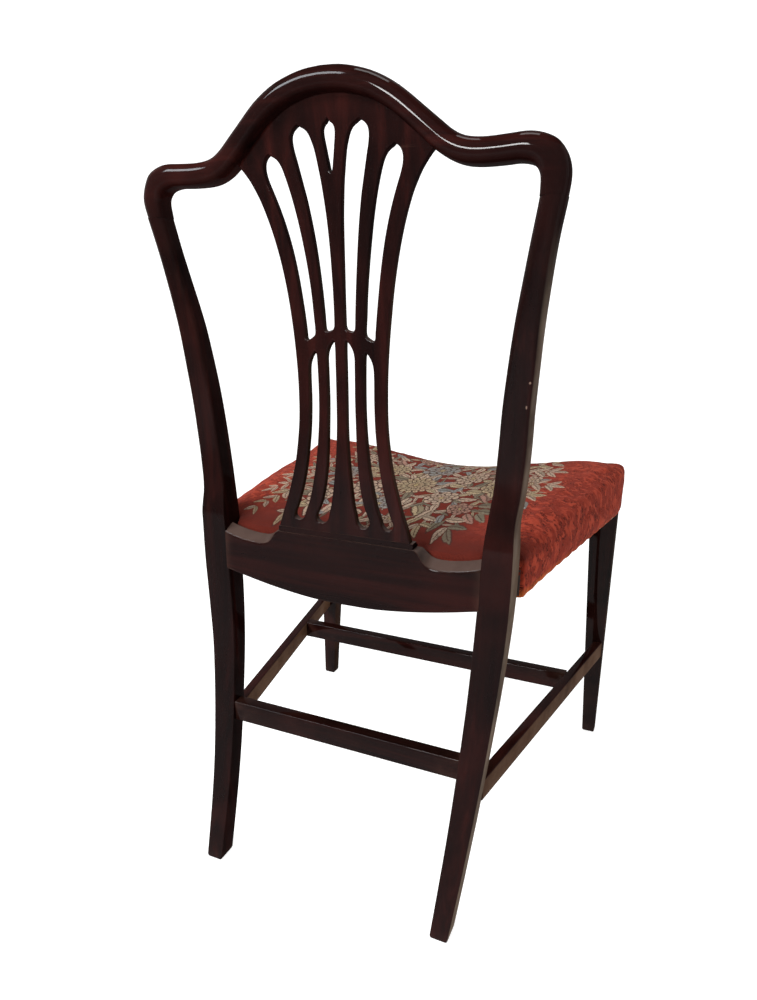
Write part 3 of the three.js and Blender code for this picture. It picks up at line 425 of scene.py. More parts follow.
def beech(name, axis, seed=0.0):
    m = new_material(name)
    t = Tree(m)
    g = t.coords(AXIS_SCALE[axis], loc=(seed, seed, seed))
    figure = t.noise(g, 60.0, 5.0, 0.6, 0.4)
    fleck = t.noise(g, 420.0, 2.0, 0.6)
    grime = t.noise(t.coords((1, 1, 1)), 16.0, 4.0, 0.6)
    col = t.ramp(figure, [(0.3, (0.20, 0.115, 0.055)), (0.55, (0.32, 0.20, 0.105)), (0.75, (0.40, 0.27, 0.155))])
    col = t.mix(t.band(fleck, 0.58, 0.70, 0.0, 0.55), col, (0.16, 0.085, 0.038))
    col = t.mix(t.band(grime, 0.45, 0.8, 0.0, 0.6), col, (0.09, 0.055, 0.032))
    # much darker towards the rear end, where the rails meet the rear leg
    back = t.add("ShaderNodeSeparateXYZ", {0: t.coords((1, 1, 1))}, out=None).outputs[1]
    col = t.mix(t.band(back, 0.125, 0.160, 0.0, 0.94), col, (0.012, 0.006, 0.005))
    t.surface(Base_Color=col, Roughness=t.band(grime, 0.2, 0.8, 0.6, 0.85), Normal=t.bump(t.math("ADD", figure, t.math("MULTIPLY", fleck, 0.4)), 0.4, 0.0006))
    return m


def weave_material(name, warp, weft, dark, pitch, axis_a=0, axis_b=1, fuzz=0.5, depth=0.0006):
    """plain weave of two sets of threads, over and under each other"""
    m = new_material(name)
    t = Tree(m)
    c = t.coords((1, 1, 1))
    soft = t.noise(c, 60.0, 2.0)
    sep = t.add("ShaderNodeSeparateXYZ", {0: c}, out=None)
    wob = t.math("MULTIPLY", t.math("SUBTRACT", soft, 0.5), pitch * 1.3)
    a = t.math("DIVIDE", t.math("ADD", sep.outputs[axis_a], wob), pitch)
    b = t.math("DIVIDE", t.math("SUBTRACT", sep.outputs[axis_b], wob), pitch)
    sa = t.math("SINE", t.math("MULTIPLY", a, math.pi))
    sb = t.math("SINE", t.math("MULTIPLY", b, math.pi))
    over = t.math("MULTIPLY", sa, sb)
    va = t.math("ABSOLUTE", sa)
    vb = t.math("ABSOLUTE", sb)
    height = t.math("ADD", t.math("MULTIPLY", va, vb), t.math("MULTIPLY", over, 0.25))
    hair = t.noise(t.coords((1, 1, 1)), 1400.0, 3.0, 0.7)
    tone = t.noise(c, 24.0, 3.0)
    col = t.mix(t.band(over, -0.2, 0.2), warp, weft)
    # painted shade in the gaps between the threads, where the weave dips
    col = t.mix(t.band(height, 0.05, 0.42, 0.75, 0.0), col, dark)
    col = t.mix(t.band(hair, 0.35, 0.75, 0.0, 0.35 * fuzz), col, (min(1, warp[0] * 1.6), min(1, warp[1] * 1.6), min(1, warp[2] * 1.6)))
    col = t.mix(t.band(tone, 0.35, 0.75, 0.0, 0.45), col, (warp[0] * 0.55, warp[1] * 0.5, warp[2] * 0.45))
    t.surface(Base_Color=col, Roughness=0.9, Specular_IOR_Level=0.2, Sheen_Weight=0.25, Sheen_Roughness=0.5,
              Normal=t.bump(t.math("ADD", height, t.math("MULTIPLY", hair, 0.25 * fuzz)), 0.8, depth))
    return m


NICKS = ((-0.2135, 0.2145, 0.742, 0.0022, 2.5), (-0.2062, 0.2095, 0.668, 0.0013, 1.6), (-0.2100, 0.2095, 0.655, 0.0012, 1.2), (-0.2075, 0.2075, 0.630, 0.0010, 2.0))
WOOD = {
    "stile_left": mahogany("mahogany_stile_left", "Z", 0.62, seed=0.3, joint=True),
    "stile_right": mahogany("mahogany_stile_right", "Z", 0.72, nicks=NICKS, seed=1.9, painted_side_light=1.0, side_light_colour=(0.115, 0.082, 0.060), joint=True),
    "front": mahogany("mahogany_front_leg", "Z", 0.55, seed=3.1, painted_side_light=0.25),
    "crest": mahogany("mahogany_crest", "X", 0.95, seed=4.4, joint=True),
    "splat": mahogany("mahogany_splat", "Z", 0.85, seed=5.2, dust_and_top_light=0.55, painted_side_light=0.3),
    "rail": mahogany("mahogany_rail", "X", 0.62, seed=6.1, dust_and_top_light=0.8),
    "bars": mahogany("mahogany_bars", "X", 0.62, seed=6.1),
    "shoe": mahogany("mahogany_shoe", "X", 0.62, seed=6.1, dust_and_top_light=0.8, wear=0.0),
    # the side stretchers are lifted lighter and given painted side light, for the light on their outer faces
    "side": mahogany("mahogany_side_stretcher", "Y", 1.2, seed=7.7, painted_side_light=1.0, side_light_colour=(0.078, 0.042, 0.025)),
}
BEECH = {"X": beech("beech_along_x", "X", 0.4), "Y": beech("beech_along_y", "Y", 1.3)}


# ------------------------------------------------------------------ rear legs with their stiles
def lean(z):
    """the upper left stile was cut a little further out than its fellow"""
    return 0.5 * smooth((z - 500) / 90) * (1 - smooth((z - 838) / 24)) + 1.9 * smooth((z - 690) / 80) * (1 - smooth((z - 838) / 24))


def leg_ring(s, z, inset=0.0):
    xo, xi, yb = leg_out(z), leg_in(z), leg_y(z)
    yf = yb - leg_deep(z)
    k, top = smooth((z - 474) / 70), smooth((z - 640) / 170)
    rb, rf = 1.5 + 3.4 * k + 6.2 * top, 1.3 + 1.4 * k
    grow = 0.9 * k * (1 - top)
    u = 0.12 * wobble(z * 0.021, s)
    m = smooth((z - 780) / 43)                 # the last stretch takes the section of the crest
    inner = (1.1 if s > 0 else 2.3) * k * (1 - m) + 1.12 * m
    outer = 0.6 * k * (1 - m) + 0.81 * m
    yf -= (24.5 - leg_deep(z)) * m
    ring = []
    for x, y in rounded_ring(xi + inset - grow * 0.6, xo - inset + u + grow * 1.4, yf + inset - grow, yb - inset, (rf, rf, rb, rb), 6):
        t = (0.35 + 0.65 * smooth((y - yf) / (yb - yf))) * (1 - m) + m
        x += outer * t if x > (xo + xi) / 2 else -inner * t
        ring.append((s * (x + (lean(z) if s > 0 else 0.0)), y, z))
    return ring


for side, s in (("left", 1), ("right", -1)):
    zs = [0.0, 1.3, 3.6] + list(np.arange(12, 468, 12.0)) + list(np.arange(468, 504, 3.0)) + list(np.arange(504, 820, 8.0)) + [823.9]
    rings = [leg_ring(s, z, {0: 2.2, 1: 0.8}.get(i, 0.0)) for i, z in enumerate(zs)]
    leg = finish_mesh(f"rear_leg_{side}_polished", *loft(rings), WOOD[f"stile_{side}"], 55)
    rides(leg, "mahogany", f"rear_leg_{side}")


# ------------------------------------------------------------------ crest rail
# section: u from the outer edge to the inner edge, v from the back to the front
def crest_section():
    pts = []
    for k in range(17):                       # rounded back, fullest below its middle
        a = math.pi * k / 16
        pts.append((0.5 - 0.5 * math.cos(a) + 0.13 * math.sin(a) ** 2, 0.46 * (1 - math.sin(a)) ** 1.15))
    pts += [(1.0, 0.62), (1.0, 0.8), (1.0, 0.955), (0.985, 0.985), (0.95, 1.0), (0.75, 1.0), (0.5, 1.0), (0.25, 0.995),
            (0.10, 0.975), (0.035, 0.92), (0.0, 0.80), (0.0, 0.62)]
    return pts


def crest_point(sg, s, u):
    xo, zo, xi, zi = (f(s) for f in crest_at)
    u += (u - 0.42) * 0.085 * smooth((s - 6.5) / 3)
    z = 824.0 if s >= LAST else max(824.0 + 0.2 * (LAST - s), zo + (zi - zo) * u)
    return sg * (xo + (xi - xo) * u + (lean(z) if sg > 0 and xo > 190 else 0.0)), z


stations = []
sub = [i / 3 for i in range(3 * LAST + 1)]
for s in reversed(sub[1:]):
    stations.append((-1, s))
for s in sub:
    stations.append((1, s))
section = crest_section()
rings = []
for sg, s in stations:
    ring = []
    for u, v in section:
        x, z = crest_point(sg, s, u)
        ring.append((x, leg_y(z) - CREST_THICK * v, z))
    rings.append(ring)
crest = finish_mesh("crest_rail_polished", *loft(rings), WOOD["crest"], 60)
rides(crest, "mahogany", "crest_rail")


# ------------------------------------------------------------------ pierced splat
def crest_inner_arc(off, upto, step=0.25):
    out = []
    s = upto
    while s >= -1e-9:
        a = crest_point(1, max(0.0, s - 0.25), 1)
        b = crest_point(1, s + 0.25, 1)
        p = crest_point(1, max(0.0, s), 1)
        nx, nz = -(b[1] - a[1]), b[0] - a[0]
        if s < 0.3:
            nx, nz = 0.0, 1.0
        q = math.hypot(nx, nz)
        out.append((p[0] + nx / q * off, p[1] + nz / q * off))
        s -= step
    return out


def catmull_open(points, step):
    p = [np.array(q, float) for q in points]
    p = [2 * p[0] - p[1]] + p + [2 * p[-1] - p[-2]]
    out = []
    for i in range(1, len(p) - 2):
        a, b, c, d = p[i - 1:i + 3]
        k = max(1, int(round(np.linalg.norm(c - b) / step)))
        for j in range(k):
            t = j / k
            out.append(tuple(0.5 * ((2 * b) + (c - a) * t + (2 * a - 5 * b + 4 * c - d) * t * t + (3 * b - 3 * c + d - a) * t ** 3)))
    out.append(tuple(p[-2]))
    return out


def plate_from_outlines(name, loops, half, bevel, mapping, mat, slices):
    cu = bpy.data.curves.new(name + "_outline", "CURVE")
    cu.dimensions = "2D"
    cu.fill_mode = "BOTH"
    cu.extrude = (half - bevel) * MM
    cu.bevel_depth = bevel * MM
    cu.bevel_resolution = 3
    cu.offset = -bevel * MM
    for loop in loops:
        sp = cu.splines.new("POLY")
        sp.points.add(len(loop) - 1)
        for p, (x, z) in zip(sp.points, loop):
            p.co = (x * MM, z * MM, 0, 1)
        sp.use_cyclic_u = True
    tmp = bpy.data.objects.new(name + "_outline", cu)
    SCENE.collection.objects.link(tmp)
    dg = bpy.context.evaluated_depsgraph_get()
    me = bpy.data.meshes.new_from_object(tmp.evaluated_get(dg))
    bpy.data.objects.remove(tmp, do_unlink=True)
    bpy.data.curves.remove(cu)
    me.name = name
    bm = bmesh.new()
    bm.from_mesh(me)
    bmesh.ops.remove_doubles(bm, verts=bm.verts, dist=2e-5)
    for z in slices:
        bmesh.ops.bisect_plane(bm, geom=bm.verts[:] + bm.edges[:] + bm.faces[:], plane_co=(0, z * MM, 0), plane_no=(0, 1, 0), dist=1e-6)
    for v in bm.verts:
        v.co = Vector(mapping(v.co.x / MM, v.co.y / MM, v.co.z / MM))
    bmesh.ops.recalc_face_normals(bm, faces=bm.faces)
    bm.to_mesh(me)
    bm.free()
    ob = bpy.data.objects.new(name, me)
    SCENE.collection.objects.link(ob)
    me.materials.clear()
    me.materials.append(mat)
    shade(ob, 32)
    return ob


def mirror_x(pts):
    return [(-x, z) for x, z in pts]


edge = catmull_open([(85.9, 468.3)] + [(x, z) for z, x in SPLAT_EDGE[1:]], 4.0)
arc = crest_inner_arc(3.0, 6.7)
right = edge + arc
outline = right + mirror_x(right[:-1])[::-1]
loops = [outline]
for h in (UPPER_INNER, UPPER_OUTER, LOWER_INNER, LOWER_OUTER):
    r = rounded_loop(h, 2.5)
    loops += [r, mirror_x(r)[::-1]]
loops.append(rounded_loop(TEARDROP, 2.0))


def on_splat(x, z, d):
    if z < 470.4 and abs(d) > SPLAT_THICK / 2 - 1.95:
        d = math.copysign(SPLAT_THICK / 2, d)
    return (x * MM + 0.0004 + 0.0008 * smooth((z - 760) / 100), (splat_y(z) - SPLAT_THICK / 2 + d + 0.7 + SHIFT) * MM, z * MM)


splat = plate_from_outlines("back_splat_carved", loops, SPLAT_THICK / 2, 1.9, on_splat, WOOD["splat"], np.arange(474, 930, 8.0))
even_normals(splat)
rides(splat, "mahogany", "back_splat")

# shoe under the splat
prof = [(-2.45, 460.9), (-19.8, 460.9), (-19.8, 463.0), (-18.6, 463.9), (-17.3, 464.5), (-16.0, 465.6), (-15.2, 466.9), (-14.6, 467.9), (-2.7, 468.0), (-2.4, 467.7)]
rings = []
for x, inset in ((-88.7, 0.8), (-87.9, 0.0), (-60, 0), (-30, 0), (0, 0), (30, 0), (60, 0), (87.9, 0.0), (88.7, 0.8)):
    cy, cz = -11.0, 464.0
    rings.append([(x, cy + (y - cy) * (1 - inset * 0.05), cz + (z - cz) * (1 - inset * 0.12)) for y, z in prof])
shoe = finish_mesh("splat_shoe_moulded", *loft(rings), WOOD["shoe"], 40)
even_normals(shoe)
rides(shoe, "mahogany", "splat_shoe")

# ------------------------------------------------------------------ rear seat rail
rail_bottom = curve(RAIL_BOTTOM, 1)
rail_top = curve(RAIL_TOP, 1)


def top_line(x):
    x = abs(x)
    for (xa, za), (xb, zb) in zip(RAIL_TOP, RAIL_TOP[1:]):
        if xa <= x <= xb:
            return za + (zb - za) * (x - xa) / (xb - xa)
    return RAIL_TOP[-1][1]


def top_smooth(x):
    return sum(top_line(x + d) * w for d, w in ((-2.0, 0.2), (-1.0, 0.2), (0, 0.2), (1.0, 0.2), (2.0, 0.2)))


xs = sorted(set([round(v, 2) for v in list(np.arange(-169.6, 169.7, 8.48)) + [sg * v for sg in (1, -1) for v in np.arange(84, 118, 1.5)] + [169.6, -169.6]]))
rings = []
for x in xs:
    zb = rail_bottom(abs(x))
    zt = min(460.5, top_smooth(x))
    zf = min(460.5, max(zt, min(460.5, zt + 7.2 * smooth((abs(x) - 88) / 16))))
    ease = smooth((abs(x) - 89) / 4)
    ring = [(x, -2.4, zb + 2.6), (x, -2.4, zb + 1.3), (x, -2.8, zb + 0.4), (x, -3.8, zb), (x, -20, zb), (x, -36.4, zb), (x, -37.4, zb + 0.6), (x, -37.6, zb + 1.6),
            (x, -37.6, 441.6), (x, -37.2, 442.6), (x, -36.2, 443.0), (x, -20.6, 443.0), (x, -20.4, 443.2), (x, -20.4, max(443.4, zf - 1.0)), (x, -20.9 + 0.9, max(443.5, zf - 0.2)),
            (x, -19.2, zf), (x, -13, zf + (zt - zf) * 0.42), (x, -8, zf + (zt - zf) * 0.74), (x, -2.9 - 1.7 * ease, zt - 0.02 - 0.03 * ease), (x, -2.5 - 0.7 * ease, zt - 0.15 - 0.35 * ease), (x, -2.4, zt - 0.5 - 1.4 * ease), (x, -2.4, zt - 3.6)]
    rings.append(ring)
rail = finish_mesh("rear_seat_rail_shaped", *loft(rings), WOOD["rail"], 40)
even_normals(rail)
rides(rail, "mahogany", "rear_seat_rail")


# ------------------------------------------------------------------ front legs and stretchers
def front_in(z):
    return 251.1 + (229.6 - 251.1) * z / 412.8


def front_back(z):
    return -468.9 + (-450.9 + 468.9) * z / 412.8


for side, s in (("left", 1), ("right", -1)):
    rings = []
    for z, inset in [(0, 1.7), (1.2, 0.6), (3.2, 0)] + [(z, 0) for z in np.arange(20, 440, 14.0)] + [(441.0, 0)]:
        x0, x1, y0, y1 = front_in(z) + inset, 271.6 - inset, -489.2 + inset, front_back(z) - inset
        ring = rounded_ring(x0, x1, y0, y1, (1.3, 1.0, 1.3, 1.3), 3)
        # the outer front corner carries two reeds with a quirk between them
        reed = [(x1 - 5.2, y0), (x1 - 4.9, y0 + 0.9), (x1 - 4.4, y0 + 0.5), (x1 - 3.2, y0 + 0.15), (x1 - 1.8, y0 + 0.5), (x1 - 0.9, y0 + 1.2),
                (x1 - 0.4, y0 + 2.0), (x1 - 0.15, y0 + 3.2), (x1 - 0.5, y0 + 4.4), (x1 - 0.9, y0 + 4.9), (x1, y0 + 5.2)]
        ring = ring[:4] + reed + ring[8:]
        rings.append([(s * x, y, z) for x, y in ring])
    leg = finish_mesh(f"front_leg_{side}_polished", *loft(rings), WOOD["front"], 35)
    rides(leg, "mahogany", f"front_leg_{side}")


def bar(name, ends, z0, z1, mat, node, r=1.4, steps=14):
    """a bar with eased arrises; ends are two (back, front) pairs of plan points as functions of z"""
    prof = rounded_ring(0, 1, 0, 1, (0.001,) * 4, 1)
    rings = []
    for i in range(steps + 1):
        f = i / steps
        ring = []
        h = z1 - z0
        (ax, ay), (bx, by) = ends(0, f), ends(1, f)       # outer and inner line points
        wdt = math.hypot(bx - ax, by - ay)
        sec = rounded_ring(0, wdt, 0, h, (r, r, r * 1.2, r * 1.2), 4)
        for u, v in sec:
            k = u / wdt
            sag = 0.25 * wobble(f * 5 + z0, k)
            ring.append((ax + (bx - ax) * k, ay + (by - ay) * k, z0 + v + sag * 0.3))
        rings.append(ring)
    ob = finish_mesh(name, *loft(rings), mat, 50)
    return rides(ob, "mahogany", node)


def stretcher_out(y):
    return (199.56 - (y / 0.96 + 30) * 0.1808) * 0.96


for side, s in (("left", 1), ("right", -1)):
    def ends(k, f, s=s):
        yr = leg_y(166) - leg_deep(166) - 0.4
        yf = front_back(166) + 0.3
        y = yr + (yf - yr) * f
        return (s * (stretcher_out(y) - 14.4 * k), y)
    bar(f"side_stretcher_{side}_polished", ends, 153, 180, WOOD["side"], f"side_stretcher_{side}")

bar("rear_stretcher_polished", lambda k, f: (-162.0 + 324.0 * f, 10.5 - 17.3 * k), 183.3, 211.0, WOOD["bars"], "rear_stretcher")
half_cross = stretcher_out(-327) - 14.4
bar("cross_stretcher_polished", lambda k, f: (-half_cross + 2 * half_cross * f, -318.9 - 17.5 * k), 153, 180, WOOD["bars"], "cross_stretcher")


# ------------------------------------------------------------------ hidden seat frame, webbing and hessian
def dress(node, mat, bevel=0.0):
    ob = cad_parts[node]
    ob.data.materials.clear()
    ob.data.materials.append(mat)
    if bevel:
        b = ob.modifiers.new("eased edges", "BEVEL")
        b.width = bevel * MM
        b.segments = 2
        b.limit_method = "ANGLE"
        b.angle_limit = math.radians(35)


dress("front_seat_rail", BEECH["X"], 0.8)
for side in ("left", "right"):
    dress(f"side_seat_rail_{side}", BEECH["Y"], 0.8)
    for end in ("front", "rear"):
        dress(f"corner_block_{end}_{side}", BEECH["X"], 0.7)


def screw_steel():
    m = new_material("dull_screw_steel")
    t = Tree(m)
    c = t.coords((1, 1, 1))
    n = t.noise(c, 900.0, 4.0, 0.6)
    rust = t.noise(c, 260.0, 3.0, 0.6)
    col = t.mix(t.band(rust, 0.52, 0.68), (0.30, 0.29, 0.27), (0.12, 0.055, 0.025))
    t.surface(Base_Color=col, Metallic=0.85, Roughness=t.band(n, 0.3, 0.7, 0.35, 0.6), Normal=t.bump(n, 0.3, 0.0002))
    return m


STEEL = screw_steel()
for side in ("left", "right"):
    for end in ("front", "rear"):
        for k in (1, 2):
            dress(f"block_screw_{end}_{side}_{k}", STEEL)


def rail_half(y):
    return 206.5 + (271.2 - 206.5) * (-37.9 - y) / (448.9 - 37.9)


def rail_inner(y):
    return rail_half(y) - 24


def frame_top(x, y):
    u = min(1.0, abs(x) / rail_inner(max(y, -470)))
    return 443.0 - 10.0 * smooth((-60 - y) / 380) * (1 - u * u) ** 2


ALONG = (-0.6, -0.2, 0.2, 0.6)
ACROSS = (-100, -190, -280, -370)


def weave_level(t, centres, i):
    if t <= centres[0] - 45 or t >= centres[-1] + 45:
        return 0.0
    for j, c in enumerate(centres):
        if abs(t - c) <= 29:
            return float((i + j) % 2)
    nodes = [(centres[0] - 45, 0)] + [(c, (i + j) % 2) for j, c in enumerate(centres)] + [(centres[-1] + 45, 0)]
    for k in range(len(nodes) - 1):
        (a, la), (b, lb) = nodes[k], nodes[k + 1]
        if a <= t <= b:
            lo = a if k == 0 else a + 29
            hi = b if k + 2 == len(nodes) else b - 29
            return la + (lb - la) * smooth((t - lo) / (hi - lo))
    return 0.0


WEB_X = weave_material("jute_webbing_across", (0.36, 0.25, 0.13), (0.28, 0.19, 0.095), (0.07, 0.045, 0.022), 0.0021)
WEB_Y = weave_material("jute_webbing_along", (0.34, 0.235, 0.12), (0.29, 0.20, 0.10), (0.07, 0.045, 0.022), 0.0021)
HESSIAN = weave_material("hessian", (0.40, 0.28, 0.14), (0.33, 0.22, 0.11), (0.045, 0.03, 0.018), 0.0016, fuzz=0.9)


def web_strip(name, length, point, mat, seed):
    """flat band; point(t, w) gives the centre height line, w from -1 to 1 across"""
    rings = []
    n = int(length / 6)
    for i in range(n + 1):
        f = i / n
        ring = []
        for side_z, order in ((0.1, (-1, -0.94, -0.6, -0.2, 0.2, 0.6, 0.94, 1)), (1.1, (1, 0.94, 0.6, 0.2, -0.2, -0.6, -0.94, -1))):
            for w in order:
                ww = w * (1 + 0.006 * wobble(f * 40 + seed, w))
                x, y, z = point(f, ww)
                thin = 0.25 if abs(w) == 1 else 0.0
                ring.append((x, y, z + (side_z + (thin if side_z < 0.5 else -thin)) + 0.05 * wobble(f * 30, w * 3, seed)))
        rings.append(ring)
    return finish_mesh(name, *loft(rings), mat, 60)


for j, yc in enumerate(ACROSS):
    half = rail_half(yc - 25) - 7.5
    centres = [f * rail_inner(yc) for f in ALONG]

    def pt(f, w, yc=yc, half=half, centres=centres, j=j):
        x = -half + 2 * half * f
        y = yc + 24.6 * w
        return x, y, frame_top(x, y) + 0.42 + 1.5 * weave_level(x, centres, j + 1)
    rides(web_strip(f"webbing_across_{j + 1}", 2 * half, pt, WEB_X, j), "webbing", f"web_across_{j + 1}")
for i, fx in enumerate(ALONG):
    centres = [-y for y in ACROSS]

    def pt(f, w, i=i, fx=fx, centres=centres):
        t = 24.8 + (482.2 - 24.8) * f
        x = fx * rail_inner(-t) + 24.6 * w
        return x, -t, frame_top(x, -t) + 0.42 + 1.5 * weave_level(t, centres, i)
    rides(web_strip(f"webbing_along_{i + 1}", 458, pt, WEB_Y, 10 + i), "webbing", f"web_along_{i + 1}")


def grid_sheet(name, ys, half, z_low, z_high, n, mat, angle=60):
    rings = []
    for y in ys:
        h = half(y)
        xs_ = [-h + 2 * h * k / n for k in range(n + 1)]
        rings.append([(x, y, z_low(x, y)) for x in xs_] + [(x, y, z_high(x, y)) for x in reversed(xs_)])
    return finish_mesh(name, *loft(rings), mat, angle)


def hess_z(x, y):
    bulge = 0.18 * wobble(x * 0.05, y * 0.04)
    return frame_top(x, y) + 3.75 + bulge * 0.5


hessian_half = lambda y: 163.5 if y > -38.3 else rail_half(max(y, -448)) - 1.2
ys = [-24.2, -30, -36, -38.2, -38.4] + list(np.arange(-44, -486, -7.0)) + [-488.7]
hess = grid_sheet("hessian_sheet", ys, hessian_half, hess_z, lambda x, y: hess_z(x, y) + 0.5, 60, HESSIAN)
rides(hess, "hessian", "seat_hessian")
area = sum((ys[i] - ys[i + 1]) * (hessian_half(ys[i]) + hessian_half(ys[i + 1])) for i in range(len(ys) - 1)) * 1e-6


# ------------------------------------------------------------------ seat cushion
FRONT_Y, REAR_Y, TONGUE_Y = -491.6, -38.0, -20.9
side_z = curve([(20, 459.5), (38, 464), (100, 471), (182, 478), (240, 481), (330, 483), (400, 486), (470, 490), (491.6, 491.5)], 1)
mid_z = curve([(20, 452), (38, 456), (100, 462), (250, 466), (400, 466), (491.6, 464.5)], 1)


def cover_half(y):
    return 211.2 + 0.1542 * (-37.9 - y) if y > -452 else 275.05


def cover_top(x, y):
    u = min(1.0, abs(x) / cover_half(y) / 0.88)
    return mid_z(-y) + (side_z(-y) - mid_z(-y)) * (0.5 - 0.5 * math.cos(math.pi * u))


def drop(d, r):
    return 0.0 if d >= r else r - math.sqrt(max(0.0, r * r - (r - max(0.0, d)) ** 2))


def cushion_mesh(name, e, z0, rear, tongue_half, tongue_rear, tongue_z0):
    r, front = 14 - e, FRONT_Y + e
    ys_ = [rear] + list(np.arange(rear - 5, front + r + 3, -6.0)) + [front + r * k for k in (1, 0.8, 0.6, 0.42, 0.28, 0.16, 0.08, 0.02, 0)]
    rings = []
    for y in ys_:
        lower = drop(y - front, r)
        h = cover_half(min(y, rear)) - e - drop(y - front, 5) * 0.5
        xs_ = [-(h - r) + 2 * (h - r) * k / 60 for k in range(61)]
        zt = cover_top(h, y) - e - lower
        bot = lambda x: z0 if z0 < 430 else frame_top(x, y) + z0 - 443
        ring = [(-h, y, bot(-h))] + [(x, y, bot(x)) for x in xs_] + [(h, y, bot(h))]
        nz = 8
        for k in range(1, nz):
            ring.append((h, y, bot(h) + (zt - r - bot(h)) * k / nz))
        for k in range(7):
            a = math.pi / 2 * k / 6
            ring.append((h - r + r * math.cos(a), y, zt - r + r * math.sin(a)))
        for x in xs_[::-1][1:-1]:
            ring.append((x, y, cover_top(x, y) - e - lower))
        for k in range(7):
            a = math.pi / 2 * k / 6
            ring.append((-h + r - r * math.sin(a), y, zt - r + r * math.cos(a)))
        for k in range(nz - 1, 0, -1):
            ring.append((-h, y, bot(-h) + (zt - r - bot(-h)) * k / nz))
        rings.append(ring)
    v1, f1 = loft(rings)
    rings = []
    for d in (0, 0.8, 2.5, 5.5, 10, 16, 24, 40):
        y = tongue_rear - d
        xs_ = [-tongue_half + 2 * tongue_half * k / 60 for k in range(61)]
        lower = drop(-20.9 - y, 11) * 0.72 + (1.2 if y < -50 else 0)
        rings.append([(x, y, tongue_z0) for x in xs_] + [(x, y, max(tongue_z0 + 1, cover_top(x, y) - e - lower)) for x in reversed(xs_)])
    v2, f2 = loft(rings)
    n1 = len(v1)
    return v1 + v2, f1 + [tuple(i + n1 for i in f) for f in f2]


def remeshed(name, verts, faces, voxel):
    ob = finish_mesh(name, verts, faces, None)
    m = ob.modifiers.new("remesh", "REMESH")
    m.mode = "VOXEL"
    m.voxel_size = voxel
    dg = bpy.context.evaluated_depsgraph_get()
    me = bpy.data.meshes.new_from_object(ob.evaluated_get(dg))
    old = ob.data
    ob.modifiers.clear()
    ob.data = me
    bpy.data.meshes.remove(old)
    me.name = name
    return ob


def coords_of(me):
    a = np.empty(len(me.vertices) * 3)
    me.vertices.foreach_get("co", a)
    return a.reshape(-1, 3)


def set_coords(me, a):
    me.vertices.foreach_set("co", np.ascontiguousarray(a, dtype=np.float64).ravel())
    me.update()


def puff(ob, pin, cap, pressure=4.0, frames=20):
    """cloth under pressure, then the moves are capped and the modifier is gone"""
    rest = coords_of(ob.data)
    out = np.empty(len(rest) * 3)
    ob.data.vertices.foreach_get("normal", out)
    out = out.reshape(-1, 3)
    out[:, 2] = 0.0
    flat = np.linalg.norm(out, axis=1, keepdims=True)
    out = np.where(flat > 0.25, out / np.maximum(flat, 1e-9), 0.0)
    g = ob.vertex_groups.new(name="pin")
    g.add([int(i) for i in np.nonzero(pin)[0]], 1.0, "ADD")
    c = ob.modifiers.new("cloth", "CLOTH")
    c.settings.use_pressure = True
    c.settings.uniform_pressure_force = pressure
    c.settings.quality = 4
    c.settings.mass = 0.3
    c.settings.tension_stiffness = 25
    c.settings.compression_stiffness = 25
    c.settings.shear_stiffness = 12
    c.settings.bending_stiffness = 0.8
    c.settings.vertex_group_mass = "pin"
    c.settings.effector_weights.gravity = 0.0
    c.collision_settings.use_collision = False
    c.collision_settings.use_self_collision = False
    c.point_cache.frame_start = 1
    c.point_cache.frame_end = frames
    for f in range(1, frames + 1):
        SCENE.frame_set(f)
    dg = bpy.context.evaluated_depsgraph_get()
    me = bpy.data.meshes.new_from_object(ob.evaluated_get(dg))
    moved = coords_of(me) - rest
    bpy.data.meshes.remove(me)
    ob.modifiers.clear()
    ob.vertex_groups.clear()
    size = np.linalg.norm(moved, axis=1, keepdims=True)
    moved *= np.minimum(1.0, cap / np.maximum(size, 1e-9))
    # the frame stands behind the sides, so they only move outward
    moved -= out * np.minimum(0.0, (moved * out).sum(1, keepdims=True))
    set_coords(ob.data, rest + moved)
    SCENE.frame_set(1)
    return rest


verts, faces = cushion_mesh("cover", 0.3, 410.3, -38.4, 166.0, -21.6, 443.6)
cover = remeshed("seat_cover_needlework", verts, faces, 0.005)
rest = coords_of(cover.data)
yy = rest[:, 1] / MM - SHIFT
zz = rest[:, 2] / MM
xx = rest[:, 0] / MM
pin = (zz < 414.5) | ((yy > -42) & (np.abs(xx) > 158)) | ((yy > -26) & (zz < 449))
puff(cover, pin, 0.0040)


def catmull_clark(ob, levels=1):
    s = ob.modifiers.new("smooth", "SUBSURF")
    s.levels = levels
    s.render_levels = levels
    dg = bpy.context.evaluated_depsgraph_get()
    me = bpy.data.meshes.new_from_object(ob.evaluated_get(dg))
    old = ob.data
    ob.modifiers.clear()
    ob.data = me
    bpy.data.meshes.remove(old)


catmull_clark(cover, 1)
me = cover.data
me.name = "seat_cover_needlework"

# open the underside, so that the cover is a skin over the frame
bm = bmesh.new()
bm.from_mesh(me)
gone = [f for f in bm.faces if (f.normal.z < -0.55 and f.calc_center_median().z < 0.4145) or
        (f.normal.z < -0.3 and f.calc_center_median().y / MM - SHIFT > -60 and abs(f.calc_center_median().x) < 0.1645 and f.calc_center_median().z < 0.4460) or
        (abs(f.calc_center_median().x) < 0.1640 and f.calc_center_median().z < 0.4430 and f.calc_center_median().y / MM - SHIFT > -60)]
bmesh.ops.delete(bm, geom=gone, context="FACES")
loose = [v for v in bm.verts if not v.link_faces]
bmesh.ops.delete(bm, geom=loose, context="VERTS")
for v in bm.verts:
    if v.co.z < 0.4108:
        v.co.z = 0.4108
bm.to_mesh(me)
bm.free()


